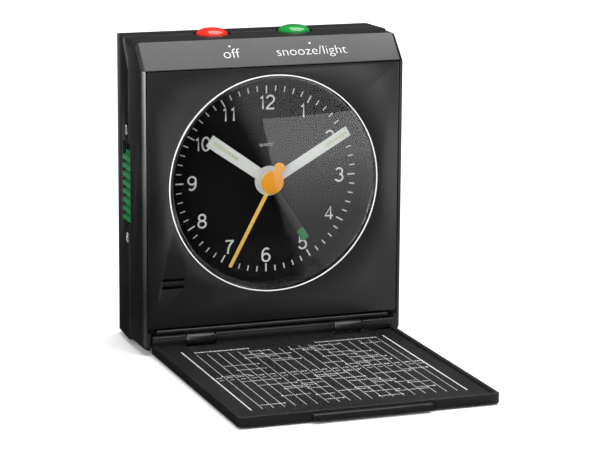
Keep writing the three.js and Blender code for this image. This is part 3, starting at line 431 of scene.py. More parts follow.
def moulded(name, base, lit, rough, grain=5000.0, depth=0.004, wear=0.5, worn=None, dust=0.25, coat=0.0,
            specular=0.5, metal=0.0):
    """A moulded or pressed surface: base and lit are its two tones, depth the height of its grain in mm."""
    material = bpy.data.materials.new(name)
    material.use_nodes = True
    tree = material.node_tree
    shader = tree.nodes["Principled BSDF"]
    shader.inputs["Metallic"].default_value = metal
    shader.inputs["Specular IOR Level"].default_value = specular
    if coat:
        shader.inputs["Coat Weight"].default_value = coat
        shader.inputs["Coat Roughness"].default_value = COAT_ROUGHNESS
    texture = use(tree, GRAIN, Scale=grain)
    edges = use(tree, WEAR)["Mask"]
    slow = use(tree, DRIFT)["Value"]
    specks = use(tree, DUST, Amount=dust)["Mask"]
    tone = math_node(tree, "MULTIPLY_ADD", slow, 0.25, texture["Tone"])
    colour = blend_colours(tree, tone, base, lit)
    edge_share = math_node(tree, "MULTIPLY", edges, wear, clamp=True)
    polished = worn or tuple(min(1, 1.8 * part + 0.012) for part in lit)
    colour = blend_colours(tree, edge_share, colour, polished)
    colour = blend_colours(tree, specks, colour, DUST_COLOUR)
    tree.links.new(colour, shader.inputs["Base Color"])
    gloss = math_node(tree, "MULTIPLY_ADD", slow, GLOSS_DRIFT, rough)
    gloss = math_node(tree, "MULTIPLY_ADD", texture["Tone"], GLOSS_DRIFT, gloss)
    gloss = math_node(tree, "MULTIPLY_ADD", edge_share, -0.3 * rough, gloss)
    gloss = math_node(tree, "MULTIPLY_ADD", specks, 0.4, gloss, clamp=True)
    tree.links.new(gloss, shader.inputs["Roughness"])
    bump = node(tree, "ShaderNodeBump")
    bump.inputs["Distance"].default_value = depth * MM
    tree.links.new(texture["Height"], bump.inputs["Height"])
    tree.links.new(bump.outputs["Normal"], shader.inputs["Normal"])
    return material


def clear_pane(name):
    """Clear acrylic that lets lamps through to what is behind it."""
    material = bpy.data.materials.new(name)
    material.use_nodes = True
    tree = material.node_tree
    shader = tree.nodes["Principled BSDF"]
    shader.inputs["Base Color"].default_value = (0.97, 0.985, 0.98, 1)
    shader.inputs["Transmission Weight"].default_value = 1
    shader.inputs["IOR"].default_value = 1.36
    shader.inputs["Roughness"].default_value = 0
    through = node(tree, "ShaderNodeBsdfTransparent")
    path = node(tree, "ShaderNodeLightPath")
    either = node(tree, "ShaderNodeMixShader")
    tree.links.new(path.outputs["Is Shadow Ray"], either.inputs[0])
    tree.links.new(shader.outputs[0], either.inputs[1])
    tree.links.new(through.outputs[0], either.inputs[2])
    tree.links.new(either.outputs[0], tree.nodes["Material Output"].inputs["Surface"])
    return material


BLACK = (0.0042, 0.0042, 0.0045)
SOOT = (0.0068, 0.0068, 0.0072)
FINE = {"grain": 6000, "depth": 0.0006, "dust": 0}
POLISHED = {"rough": 0.12, "grain": 3000, "depth": 0.0002, "wear": 0.15, "dust": 0.1, "coat": 0.4}
FINISH = {
    "case": moulded("satin_black_case", BLACK, SOOT, 0.3, 4200, 0.0022, wear=0.55),
    "panel": moulded("fine_grain_panel", (0.004, 0.004, 0.0042), (0.006, 0.006, 0.0063), 0.36, 3600, 0.003,
                     wear=0.4, specular=0.75),
    "lid": moulded("lid_leather_grain", (0.007, 0.007, 0.0074), (0.013, 0.013, 0.0136), 0.42, 2600, 0.010,
                   wear=0.6),
    "ring": moulded("gloss_black_well", (0.006, 0.006, 0.0065), (0.008, 0.008, 0.0085), 0.08, 2500, 0.0002,
                    dust=0),
    "dial": moulded("matt_black_dial", (0.0042, 0.0042, 0.0044), (0.0055, 0.0055, 0.0058), 0.8, 9000, 0.0001,
                    dust=0, specular=0.06),
    "ink": moulded("pale_printing_ink", (0.60, 0.60, 0.585), (0.68, 0.68, 0.66), 0.5, 7000, 0.0015, wear=0,
                   dust=0),
    "lid_ink": moulded("lid_table_ink", (0.42, 0.42, 0.41), (0.72, 0.72, 0.70), 0.5, 3000, 0.003, wear=0,
                       dust=0.1),
    "white": moulded("white_lacquer_hand", (0.54, 0.545, 0.53), (0.60, 0.605, 0.59), 0.35, wear=0.2,
                     worn=(0.78, 0.78, 0.76), **FINE),
    "lume": moulded("pale_luminous_paint", (0.42, 0.45, 0.30), (0.55, 0.58, 0.42), 0.7, 5000, 0.006, wear=0,
                    dust=0),
    "yellow": moulded("yellow_lacquer_hand", (0.66, 0.26, 0.002), (0.74, 0.30, 0.004), 0.4, wear=0.1,
                      worn=(0.95, 0.55, 0.05), **FINE),
    "needle": moulded("yellow_needle", (0.66, 0.40, 0.06), (0.74, 0.46, 0.09), 0.45, wear=0.1,
                      worn=(0.9, 0.65, 0.2), **FINE),
    "black_hand": moulded("black_lacquer_hand", (0.006, 0.006, 0.006), (0.009, 0.009, 0.009), 0.45, **FINE),
    "green_tip": moulded("green_alarm_tip", (0.010, 0.13, 0.038), (0.014, 0.17, 0.05), 0.45, **FINE),
    "red": moulded("red_button_gloss", (0.72, 0.018, 0.006), (0.82, 0.028, 0.010), worn=(0.9, 0.10, 0.06),
                   **POLISHED),
    "green": moulded("green_button_gloss", (0.006, 0.23, 0.035), (0.012, 0.30, 0.05),
                     worn=(0.05, 0.42, 0.12), **POLISHED),
    "slider": moulded("green_slider_satin", (0.008, 0.13, 0.035), (0.014, 0.19, 0.055), 0.35, 4000, 0.002,
                      wear=0.5, worn=(0.06, 0.36, 0.14), dust=0.1),
    "knob": moulded("knob_black", (0.012, 0.012, 0.0125), (0.02, 0.02, 0.021), 0.42, 3500, 0.004, wear=0.7),
    "rubber": moulded("foot_rubber", (0.012, 0.012, 0.012), (0.022, 0.022, 0.022), 0.85, 2500, 0.008,
                      wear=0.3, dust=0.4),
    "steel": moulded("bright_steel", (0.50, 0.51, 0.53), (0.60, 0.61, 0.63), 0.28, wear=0.4,
                     worn=(0.75, 0.76, 0.78), metal=1.0, **FINE),
    "brass": moulded("turned_brass", (0.60, 0.42, 0.16), (0.72, 0.52, 0.22), 0.3, wear=0.4,
                     worn=(0.85, 0.68, 0.38), metal=1.0, **FINE),
    "natural": moulded("natural_acetal", (0.66, 0.65, 0.60), (0.74, 0.73, 0.69), 0.4, 5000, 0.001, wear=0.2,
                       worn=(0.8, 0.8, 0.76), dust=0),
    "grey": moulded("movement_grey", (0.035, 0.037, 0.042), (0.05, 0.052, 0.058), 0.4, 4000, 0.003, dust=0),
    "board": moulded("board_green_mask", (0.010, 0.085, 0.030), (0.018, 0.12, 0.045), 0.3, 3000, 0.001,
                     dust=0),
    "copper": moulded("enamelled_copper", (0.50, 0.16, 0.05), (0.66, 0.26, 0.09), 0.3, 7000, 0.004,
                      metal=0.8, dust=0),
    "cell": moulded("cell_jacket_foil", (0.16, 0.17, 0.19), (0.24, 0.25, 0.28), 0.3, 2500, 0.0005, metal=0.3,
                    dust=0),
    "lamp": moulded("lamp_pearl", (0.62, 0.66, 0.52), (0.72, 0.76, 0.62), 0.2, 3000, 0.0003, dust=0),
    "lens": clear_pane("clear_acrylic_lens"),
    # Painted highlight: a near-white colour standing in for the light that the lens's rim catches.
    "painted_rim_highlight": moulded("lens_rim_painted_highlight", (0.80, 0.81, 0.80), (0.86, 0.87, 0.86), 0.3, 5000, 0.001,
                       wear=0, dust=0),
}

NODE_FINISH = {
    "steel": ["hinge_pin", "battery_contact_negative", "battery_contact_positive", "movement_screw_upper",
              "movement_screw_lower", "rotor", "stator"],
    "brass": ["cannon_pinion", "centre_wheel"],
    "natural": ["alarm_wheel", "hour_wheel", "motion_wheel", "time_set_arbor", "alarm_set_arbor",
                "seconds_wheel", "third_wheel", "intermediate_wheel", "movement_front_plate",
                "movement_middle_plate"],
    "grey": ["movement_back_cover", "sounder", "off_switch", "snooze_switch", "alarm_switch"],
    "board": ["circuit_board"],
    "copper": ["coil"],
    "cell": ["battery_cell"],
    "lamp": ["dial_lamp"],
}


def paint_carried_nodes():
    for finish, names in NODE_FINISH.items():
        for name in names:
            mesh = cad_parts[name].data
            mesh.materials.clear()
            mesh.materials.append(FINISH[finish])


# ---- case shells ----
def edge_radius(a, b):
    """Rounding of a case edge, from where it runs."""
    side = near(abs(a.x), abs(b.x)) and a.x * b.x > 0
    if near(a.y, CASE_BACK) and near(b.y, CASE_BACK):
        return EDGE["rear"]
    if side and near(a.y, 0) and near(b.y, 0):
        return EDGE["front"]
    if side and near(abs(a.z - b.z), BAND) and near(abs(a.y - b.y), BAND):
        return EDGE["front"]
    if side and near(a.z, b.z) and (near(a.z, TOP) or near(a.z, BOTTOM)):
        return EDGE["corner"]
    if not side and near(a.z, BOTTOM) and near(a.y, 0) and near(b.y, 0):
        return EDGE["sill"]
    if not side and near(a.z, b.z) and (near(a.y, BAND) or (near(a.y, 0) and near(a.z, TOP - BAND))):
        return EDGE["band"]
    return 0


def case_body(name):
    """The whole outside of the case, before the seam parts it."""
    body = box(name, (-HALF, 0, BOTTOM), (HALF, CASE_BACK, TOP))
    pick(body, "EDGE", along_x(0, TOP))
    bpy.ops.mesh.bevel(offset=BAND * MM, segments=1, affect="EDGES")
    bpy.ops.mesh.select_all(action="SELECT")
    bpy.ops.mesh.bisect(plane_co=place(0, SEAM_Y, 0), plane_no=(0, 1, 0))
    leave()
    pick(body, "VERT", lambda p: near(p.y, CASE_BACK))
    bpy.ops.transform.resize(value=((HALF - REAR_TAPER) / HALF, 1, 1), center_override=(0, 0, 0))
    leave()
    points = [design(vertex.co) for vertex in body.data.vertices]
    weights = body.data.attributes.new("bevel_weight_edge", "FLOAT", "EDGE")
    widest = max(EDGE.values())
    for edge in body.data.edges:
        weights.data[edge.index].value = edge_radius(*[points[i] for i in edge.vertices]) / widest
    focus(body)
    step = body.modifiers.new("rounded edges", "BEVEL")
    step.width = widest * MM
    step.segments = 7
    step.limit_method = "WEIGHT"
    bpy.ops.object.modifier_apply(modifier=step.name)
    body.data.attributes.remove(body.data.attributes["bevel_weight_edge"])
    return body


def seam_block(name, shift):
    """All that lies in front of the seam, which leans back near the top."""
    block = box(name, (-FAR, -FAR, -FAR), (FAR, SEAM_Y + shift, 2 * FAR))
    pick(block, "FACE", lambda centre, normal: True)
    bpy.ops.mesh.bisect(plane_co=place(0, 0, SEAM_RISE), plane_no=(0, 0, 1))
    bpy.ops.mesh.select_all(action="SELECT")
    bpy.ops.mesh.bisect(plane_co=place(0, 0, SEAM_RISE + SEAM_LEAN), plane_no=(0, 0, 1))
    leave()
    pick(block, "VERT", lambda p: p.z > SEAM_RISE + SEAM_LEAN - TINY and p.y > SEAM_Y - 1)
    bpy.ops.transform.translate(value=(0, SEAM_LEAN * MM, 0))
    leave()
    return block


def on_seam(point, shift):
    lean = min(max(point.z - SEAM_RISE, 0), SEAM_LEAN)
    return near(point.y, SEAM_Y + shift + lean, 0.02)


def break_seam_edge(shell, shift):
    """A small round on the outer edge of the seam, which catches the light as a thin line."""
    focus(shell)
    bpy.context.tool_settings.mesh_select_mode = (False, True, False)
    bpy.ops.object.mode_set(mode="EDIT")
    work = bmesh.from_edit_mesh(shell.data)
    for edge in work.edges:
        ends = [design(vertex.co) for vertex in edge.verts]
        sharp = edge.is_manifold and edge.calc_face_angle() > math.radians(50)
        outer = all(abs(p.x) > HALF - 0.3 or p.z > TOP - 1.7 or p.z < BOTTOM + 0.3 for p in ends)
        edge.select_set(sharp and outer and all(on_seam(p, shift) for p in ends))
    bmesh.update_edit_mesh(shell.data)
    bpy.ops.mesh.bevel(offset=0.14 * MM, segments=2, affect="EDGES", clamp_overlap=True)
    leave()


def button_wells(tag):
    wells = []
    for x in (-BUTTON["x"], BUTTON["x"]):
        y = BUTTON["y"]
        floor = TOP - BUTTON["depth"]
        hole = BUTTON["radius"] + BUTTON["gap"]
        lip = BUTTON["dish"] - hole
        wells.append(post(tag + "_dish", hole + 0.25, x, y, floor, TOP + lip, 96, BUTTON["dish"] + 0.35))
        wells.append(post(tag + "_hole", hole, x, y, TOP - 4, TOP, 96))
    return wells


def side_slot(tag):
    slot = box(tag, (-HALF - 2, SLOT["y0"], SLOT["z0"]), (-HALF + SLOT["depth"], SLOT["y1"], SLOT["z1"]))
    return round_edges(slot, lambda a, b: near(a.y, b.y) and near(a.z, b.z), 0.25)


def foot_wells(tag, y):
    top = BOTTOM + FOOT["depth"]
    return [post(tag, FOOT["well"], x, y, -2, top, 48) for x in (FOOT["x"], -FOOT["x"])]


def front_shell():
    shell = common(case_body("front_shell"), seam_block("seam", 0))
    inner_top = TOP - WALL
    ledge = 2 * PANEL_DEPTH + BITE
    roof_gap = inner_top - (TOP - BAND - WALL * math.sqrt(2) + ledge)
    cavity = box("cavity", (-HALF + WALL, ledge, PANEL_LOW.z + WALL), (HALF - WALL, FAR, inner_top))
    round_edges(cavity, along_x(ledge, inner_top), roof_gap, 1)
    cellar = box("cellar", (-HALF + WALL, RECESS["depth"] + WALL, BOTTOM + WALL), (HALF - WALL, FAR, 20))
    pocket = box("pocket", (-POCKET, -3, RECESS["top"] - 1), (POCKET, PANEL_DEPTH + BITE, TOP - BAND))
    recess = box("recess", (-RECESS["half"], -3, -3), (RECESS["half"], RECESS["depth"], RECESS["top"]))
    well = disc("well", WELL_OUTER + 0.3, -3, ledge + 1, sides=128)
    vent = box("vent", (SOUND["x"] - SOUND["length"] / 2, 0, SOUND["z"] - SOUND["spacing"]),
               (SOUND["x"] + SOUND["length"] / 2, ledge + 1, SOUND["z"] + SOUND["spacing"]))
    cut(shell, cavity, cellar, pocket, recess, well, vent)
    break_seam_edge(shell, 0)

    reach = RECESS["half"] - WALL
    bar_z = HINGE_Z + BAR["rise"]
    rail = rod("rail", BAR["radius"], (-reach, BAR["radius"], bar_z), (reach, BAR["radius"], bar_z), "X", 32)
    back = RECESS["depth"] + BITE
    thin = BAR["radius"] / 2
    pin_end = RECESS["half"] - 0.2
    web = box("rail_web", (-reach, BAR["radius"], bar_z - thin), (reach, back, bar_z + thin))
    fuse(shell, rail, web)
    for side in (-1, 1):
        near_x, far_x = sorted((side * BARREL["inner"], side * BARREL["outer"]))
        barrel = axle("barrel", BARREL["radius"], near_x, far_x, 48)
        soften(barrel, 0.12)
        high = BARREL["radius"] - 0.3
        arm = box("barrel_arm", (near_x + 0.1, 0, HINGE_Z - high), (far_x - 0.1, back, HINGE_Z + high))
        fuse(shell, barrel, arm)
    cut(shell, axle("pin_bore", PIN, -pin_end, pin_end, 24))
    cut(shell, *button_wells("front"), side_slot("front_slot"), *foot_wells("front_foot", FOOT["front"]))
    return finish_piece(shell, "case", FINISH["case"], "case_plastic", "front_frame")


def rear_shell():
    gap = SEAM_GAP
    shell = cut(case_body("rear_shell"), seam_block("seam", gap))
    break_seam_edge(shell, gap)
    wall_y = CASE_BACK - PANEL_DEPTH
    inner = HALF - REAR_TAPER - WALL
    cut(shell, box("room", (-inner, 0, BOTTOM + WALL), (inner, wall_y, TOP - WALL)))
    joined = wall_y + BITE
    tray_low, tray_high = DOOR_LOW.z - 1, DOOR_HIGH.z + 1
    end = DOOR_HIGH.x + 1.4
    fuse(shell, box("tray", (-end, 10.9, tray_low), (end, joined, tray_high)))
    dish_floor = CASE_BACK - KNOB["depth"]
    for x in (-KNOB["x"], KNOB["x"]):
        fuse(shell, disc("cup", KNOB["dish"] + WALL, dish_floor - PANEL_DEPTH, joined, x))
        dish = disc("dish", KNOB["dish"] + 0.25, dish_floor, CASE_BACK + 1, x, sides=96)
        round_edges(dish, rim_at(dish_floor), 0.4)
        cut(shell, dish, disc("arbor_hole", 1, 10, CASE_BACK, x, sides=32))
    for x in (-SCREW["x"], SCREW["x"]):
        for z in (SCREW["low"], SCREW["high"]):
            fuse(shell, disc("tower", 2.4, SEAM_Y + 7.3, joined, x, z, sides=32))
            cut(shell, disc("shank_hole", 1.1, 5, CASE_BACK, x, z, sides=24),
                disc("head_hole", 1.9, CASE_BACK - SCREW["seat"], CASE_BACK + 2, x, z, sides=48))
    ledge = 0.9
    cut(shell, box("cell_room", (-DOOR_HIGH.x, 12.4, DOOR_LOW.z + ledge),
                   (DOOR_HIGH.x, FAR, DOOR_HIGH.z - ledge)))
    doorway = box("doorway", (-DOOR_HIGH.x - 0.3, wall_y, DOOR_LOW.z - 0.3),
                  (DOOR_HIGH.x + 0.3, CASE_BACK + 2, DOOR_HIGH.z + 0.3))
    round_edges(doorway, along_y, 0.9)
    cut(shell, doorway)
    cut(shell, *button_wells("rear"), side_slot("rear_slot"), *foot_wells("rear_foot", FOOT["rear"]))
    return finish_piece(shell, "case", FINISH["case"], "case_plastic", "rear_case")


def front_panel():
    panel = box("front_panel", PANEL_LOW, PANEL_HIGH)
    round_edges(panel, along_y, 0.4)
    soften(panel, 0.12, 2, 60)
    hole = LENS_HIGH.x + 0.22
    cut(panel, disc("opening", hole, -3, 6, sides=160))
    reach = SOUND["length"] / 2
    for z in (SOUND["z"] - SOUND["spacing"] / 2, SOUND["z"] + SOUND["spacing"] / 2):
        up = SOUND["height"] / 2
        slot = box("slot", (SOUND["x"] - reach, -3, z - up), (SOUND["x"] + reach, 6, z + up))
        round_edges(slot, along_y, up * 0.98, 6)
        cut(panel, slot)

    def front_rim(a, b):
        if not (near(a.y, 0) and near(b.y, 0)):
            return False
        radii = [math.hypot(p.x, p.z - DIAL_Z) for p in (a, b)]
        in_slot = all(near(p.x, SOUND["x"], reach + 0.01) and near(p.z, SOUND["z"], 1.5) for p in (a, b))
        return in_slot or all(near(radius, hole, 0.05) for radius in radii)

    round_edges(panel, front_rim, 0.1, 2)
    return finish_piece(panel, "case", FINISH["panel"], "panel_plastic", "face_panel")


# ---- dial, lens and hands ----
def ring_of(name, inner, outer, y0, y1, sides=128):
    ring = disc(name, outer, y0, y1, sides=sides)
    return cut(ring, disc("bore", inner, y0 - 2, y1 + 2, sides=sides))


def lens():
    """A clear pane inside a narrow ring whose near-white colour is a painted highlight of the light on the
    lens's rim.
    """
    rim = 0.26
    inside = LENS_HIGH.x - rim - 0.01
    # This ring's near-white colour is a painted highlight of the lens's rim, not a colour of the lens itself.
    edge = ring_of("lens_painted_highlight_ring", LENS_HIGH.x - rim, LENS_HIGH.x, LENS_LOW.y, LENS_LOW.y + 0.4, 160)
    round_edges(edge, rim_at(LENS_LOW.y), 0.1, 3)
    finish_piece(edge, "case", FINISH["painted_rim_highlight"], "lens_clear")
    pane = disc("clear_lens", inside, LENS_LOW.y, LENS_HIGH.y, sides=160)
    round_edges(pane, rim_at(LENS_LOW.y), 0.2, 3)
    return finish_piece(pane, "case", FINISH["lens"], "lens_clear", "lens")


def dial_well():
    wall = ring_of("dial_well", WELL_INNER, WELL_OUTER, RING_LOW.y, RING_HIGH.y)
    round_edges(wall, rim_at(RING_LOW.y), 0.18, 2)
    flange = ring_of("flange", WELL_OUTER - 0.4, RING_HIGH.x, RING_LOW.y + 2, RING_LOW.y + 3)
    fuse(wall, flange)
    return finish_piece(wall, "case", FINISH["ring"], "ring_plastic", "dial_ring")


def dial_plate():
    base = disc("dial_plate", WELL_OUTER, DIAL_LOW.y, DIAL_HIGH.y, sides=128)
    cut(base, disc("centre_hole", 2.6, 0, 20, sides=48))
    soften(base, 0.08)
    return finish_piece(base, "case", FINISH["dial"], "dial_black", "dial")


def begin_print(name):
    """An empty mesh, in edit mode, that plates are added to."""
    bpy.ops.object.select_all(action="DESELECT")
    bpy.ops.mesh.primitive_plane_add(size=1)
    piece = fresh(name)
    bpy.ops.object.mode_set(mode="EDIT")
    bpy.ops.mesh.select_all(action="SELECT")
    bpy.ops.mesh.delete(type="VERT")
    return piece


def plate(centre, size, turn=(0, 0, 0)):
    """One printed mark, a thin plate, added to the mesh that is in edit mode."""
    bpy.ops.mesh.primitive_cube_add(size=1, location=place(*centre), rotation=turn,
                                    scale=tuple(part * MM for part in size))


def dot(centre, radius, turn=(0, 0, 0)):
    bpy.ops.mesh.primitive_cylinder_add(vertices=16, radius=radius * MM, depth=PRINT * MM,
                                        location=place(*centre), rotation=turn)


TICK = {"outer": 22.55, "hour": 1.92, "minute": 1.3, "width": 0.3}


def dial_ticks():
    ticks = begin_print("dial_ticks")
    for minute in range(60):
        angle = math.radians(6 * minute)
        length = TICK["minute"] if minute % 5 else TICK["hour"]
        width = TICK["width"] * (0.9 if minute % 5 else 1.1)
        middle = TICK["outer"] - length / 2
        centre = (middle * math.sin(angle), DIAL_LOW.y - PRINT / 2, DIAL_Z + middle * math.cos(angle))
        plate(centre, (width, PRINT, length), (0, angle, 0))
    leave()
    return printed(ticks)


def arc(x, z, rx, rz, start, end, steps=14):
    """Points on an ellipse, angles in degrees from the right, counter-clockwise."""
    turns = [math.radians(start + (end - start) * i / steps) for i in range(steps + 1)]
    return [(x + rx * math.cos(t), z + rz * math.sin(t)) for t in turns]


# Pen strokes of the numerals, in units of their height, drawn about their own middle.
STROKES = {
    "0": [arc(0, 0, 0.27, 0.46, 90, 450, 28)],
    "1": [[(-0.13, 0.3), (-0.05, 0.33), (0.02, 0.39), (0.04, 0.46), (0.04, -0.46)]],
    "2": [arc(0, 0.2, 0.27, 0.26, 165, -38)
          + [(-0.12, -0.25), (-0.27, -0.44), (-0.27, -0.46), (0.28, -0.46)]],
    "3": [arc(0, 0.235, 0.25, 0.225, 155, -80), arc(0, -0.21, 0.285, 0.25, 85, -158)],
    "4": [[(0.12, -0.46), (0.12, 0.46), (-0.29, -0.2), (0.3, -0.2)]],
    "5": [[(0.24, 0.46), (-0.19, 0.46), (-0.25, 0.0)] + arc(0, -0.16, 0.285, 0.3, 140, -155)],
    "6": [arc(0, -0.19, 0.275, 0.27, 0, 360, 24), arc(0.03, 0.0, 0.305, 0.46, 55, 200)],
    "7": [[(-0.27, 0.46), (0.28, 0.46)] + arc(0.45, -0.46, 0.55, 0.9, 108, 180)],
    "8": [arc(0, 0.24, 0.235, 0.22, 0, 360, 22), arc(0, -0.22, 0.275, 0.24, 0, 360, 24)],
    "9": [arc(0, 0.19, 0.275, 0.27, 0, 360, 24), arc(-0.03, 0.0, 0.305, 0.46, -125, 20)],
}
BELL_RIM = [(-0.3, -0.25), (-0.42, -0.36), (0.42, -0.36), (0.3, -0.25), (0.3, -0.02)]
BELL = [arc(0, -0.02, 0.3, 0.42, 0, 180) + BELL_RIM, arc(0, -0.42, 0.08, 0.06, 180, 360, 6)]
CROSS = [[(-0.45, -0.45), (0.45, 0.45)]]


def pen(name, drawings, width):
    """Draws (strokes, height, (x, z)) drawings with a round pen, upright on a plane facing -Y."""
    curve = bpy.data.curves.new(name, "CURVE")
    curve.dimensions = "3D"
    curve.bevel_depth = width / 2 * MM
    curve.bevel_resolution = 2
    curve.use_fill_caps = True
    for strokes, height, (x, z) in drawings:
        for stroke in strokes:
            spline = curve.splines.new("POLY")
            closed = math.dist(stroke[0], stroke[-1]) < 0.01
            points = stroke[:-1] if closed else stroke
            spline.points.add(len(points) - 1)
            spline.use_cyclic_u = closed
            for point, (u, v) in zip(spline.points, points):
                point.co = ((x + u * height) * MM, 0, (z + v * height) * MM, 1)
    piece = bpy.data.objects.new(name, curve)
    bpy.context.scene.collection.objects.link(piece)
    focus(piece)
    bpy.ops.object.convert(target="MESH")
    piece = fresh(name)
    piece.scale.y = PRINT / width * 2
    return settle(piece)


def numerals():
    height, weight, radius, pitch = 3.4, 0.44, 18.5, 2.0
    drawings = []
    for hour in range(1, 13):
        angle = math.radians(30 * hour)
        label = str(hour)
        for place_in, digit in enumerate(label):
            shift = (place_in - (len(label) - 1) / 2) * pitch
            middle = (radius * math.sin(angle) + shift, DIAL_Z + radius * math.cos(angle))
            drawings.append((STROKES[digit], height, middle))
    piece = pen("dial_numerals", drawings, weight)
    piece.location.y = (FACE_Y + DIAL_LOW.y) * MM
    settle(piece)
    return printed(piece)


def lettering(name, words, width, centre, turn):
    """Printed words, scaled to the given width, with centre at the middle of their baseline."""
    bpy.ops.object.select_all(action="DESELECT")
    bpy.ops.object.text_add()
    letters = bpy.context.object
    letters.data.body = words
    letters.data.align_x = "CENTER"
    letters.data.size = 2 * MM
    letters.data.extrude = PRINT / 2 * MM
    letters.data.offset = -THINNING * MM
    letters.data.resolution_u = 6
    bpy.ops.object.convert(target="MESH")
    piece = fresh(name)
    middle = (piece.bound_box[0][0] + piece.bound_box[6][0]) / 2
    piece.data.transform(Matrix.Translation((-middle, 0, 0)))
    size = width * MM / piece.dimensions.x
    piece.scale = (size, size, 1)
    settle(piece)
    piece.rotation_euler = turn
    piece.location = place(*centre)
    settle(piece)
    return printed(piece)


HAND = {
    "hour": {"angle": 305, "tip": 18.2, "widths": (2.7, 3.1), "hub": 3.6, "bore": 1.64,
             "lume": (9.6, 17.0, 0.95)},
    "minute": {"angle": 60, "tip": 22.6, "widths": (2.3, 2.5), "hub": 2.6, "bore": 1.04,
               "lume": (15.8, 22.0, 0.75)},
    "second": {"angle": 208, "tip": 22.7, "widths": (0.92, 0.8), "hub": 2.8, "sink": 0.1},
    "alarm": {"angle": 147, "tip": 14.9, "widths": (1.6, 1.9), "hub": 3, "bore": 2.2},
}
SECOND_TAIL = {"reach": 3.8, "radius": 1.35, "neck": 0.9}
ALARM_TIP = (14.9, 17.9)


def tapered_bar(name, start, end, widths, y0, y1):
    """A flat bar up from the dial centre, with its widths at start and end."""
    bar = box(name, (-widths[0] / 2, y0, DIAL_Z + start), (widths[0] / 2, y1, DIAL_Z + end))
    pick(bar, "VERT", lambda p: p.z > DIAL_Z + (start + end) / 2)
    bpy.ops.transform.resize(value=(widths[1] / widths[0], 1, 1), center_override=place(0, y0, DIAL_Z))
    leave()
    return round_edges(bar, lambda a, b: near(a.x, b.x, 0.3) and near(a.z, b.z), 0.12, 3)


def aim(piece, angle):
    """Turns a piece about the dial's centre, clockwise as seen from the front."""
    centre = Matrix.Translation(place(0, 0, DIAL_Z))
    piece.data.transform(centre @ Matrix.Rotation(math.radians(angle), 4, "Y") @ centre.inverted())
    return piece


def fill_with_lume(bar, name, front):
    """Sinks a groove into a pointer, and lays luminous paint in it."""
    begin, end, width = HAND[name]["lume"]
    half, play = width / 2, 0.02
    cut(bar, box("groove", (-half, front - 1, DIAL_Z + begin), (half, front + 0.15, DIAL_Z + end)))
    filling = box(name + "_lume", (-half + play, front + 0.03, DIAL_Z + begin + play),
                  (half - play, front + 0.14, DIAL_Z + end - play))
    soften(filling, 0.02)
    finish_piece(aim(filling, HAND[name]["angle"]), name + "_hand", FINISH["lume"], "hand_white")


def hand(name, finish, slot):
    """A pointer, with a bored hub unless it is the needle, whose hub is a piece of its own."""
    spec = HAND[name]
    low, high = extent(name + "_hand")
    front, back = low.y + spec.get("sink", 0), high.y
    needle = name == "second"
    start = -SECOND_TAIL["reach"] if needle else 0
    bar = tapered_bar(name + "_pointer", start, spec["tip"], spec["widths"], front, back)
    if "lume" in spec:
        fill_with_lume(bar, name, front)
    if not needle:
        hub = disc("hub", spec["hub"], front, back, sides=72)
        fuse(bar, soften(hub, 0.07))
        cut(bar, disc("bore", spec["bore"], front - 2, back + 2, sides=40))
    soften(bar, 0.045, 2, 60)
    finish_piece(aim(bar, spec["angle"]), name + "_hand", finish, slot, name + "_hand")


def second_hub():
    """The disc and the tail disc of the second hand, joined by a neck."""
    low, high = extent("second_hand")
    hub = disc("second_hub", HAND["second"]["hub"], low.y, high.y, sides=72)
    tail_z = DIAL_Z - SECOND_TAIL["reach"]
    tail = disc("tail", SECOND_TAIL["radius"], low.y, high.y, 0, tail_z, sides=48)
    neck = box("neck", (-SECOND_TAIL["neck"], low.y, tail_z), (SECOND_TAIL["neck"], high.y, DIAL_Z))
    fuse(hub, tail, neck)
    soften(hub, 0.08, 2, 60)
    return finish_piece(aim(hub, HAND["second"]["angle"]), "second_hand", FINISH["yellow"], "hand_yellow")


def alarm_tip():
    low, high = extent("alarm_hand")
    half = HAND["alarm"]["widths"][1] / 2
    start, end = ALARM_TIP
    tip = box("alarm_tip", (-half, low.y, DIAL_Z + start + 0.01), (half, high.y, DIAL_Z + end))
    round_edges(tip, along_y, 0.2, 3)
    soften(tip, 0.05, 2, 60)
    return finish_piece(aim(tip, HAND["alarm"]["angle"]), "alarm_hand", FINISH["green_tip"], "slider_green")


def hands():
    hand("hour", FINISH["white"], "hand_white")
    hand("minute", FINISH["white"], "hand_white")
    hand("second", FINISH["needle"], "hand_yellow")
    second_hub()
    hand("alarm", FINISH["black_hand"], "hand_black")
    alarm_tip()


# ---- buttons and slider ----
def push_button(name, side, finish, slot):
    low, high = extent(name)
    x, y = side * BUTTON["x"], BUTTON["y"]
    shoulder = TOP - 0.3
    cap = post(name + "_cap", BUTTON["radius"], x, y, low.z + 3, shoulder, 96)
    dome = high.z - shoulder
    pick(cap, "FACE", lambda centre, normal: normal.z > 0.9)
    steps, fullness = 10, 0.8
    radius, level = BUTTON["radius"], shoulder
    for i in range(1, steps):
        angle = math.radians(90 * i / steps)
        wide = BUTTON["radius"] * math.cos(angle) ** fullness
        rise = shoulder + dome * math.sin(angle)
        bpy.ops.mesh.extrude_region_move(TRANSFORM_OT_translate={"value": (0, 0, (rise - level) * MM)})
        bpy.ops.transform.resize(value=(wide / radius, wide / radius, 1), center_override=place(x, y, 0))
        radius, level = wide, rise
    bpy.ops.mesh.extrude_region_move(TRANSFORM_OT_translate={"value": (0, 0, (high.z - level) * MM)})
    bpy.ops.mesh.merge(type="CENTER")
    leave()
    stem = post("stem", 1.6, x, y, low.z, low.z + 4, 32)
    flange = post("flange", high.x - x, x, y, TOP - WALL - 1.6, TOP - WALL - 0.3, 64)
    fuse(cap, stem, flange)
    return finish_piece(cap, name, finish, slot, name)


RIB = {"count": 8, "depth": 0.9, "share": 0.78, "slant": 0.32}
FLANGE = {"outer": -30.1, "inner": -29.3}


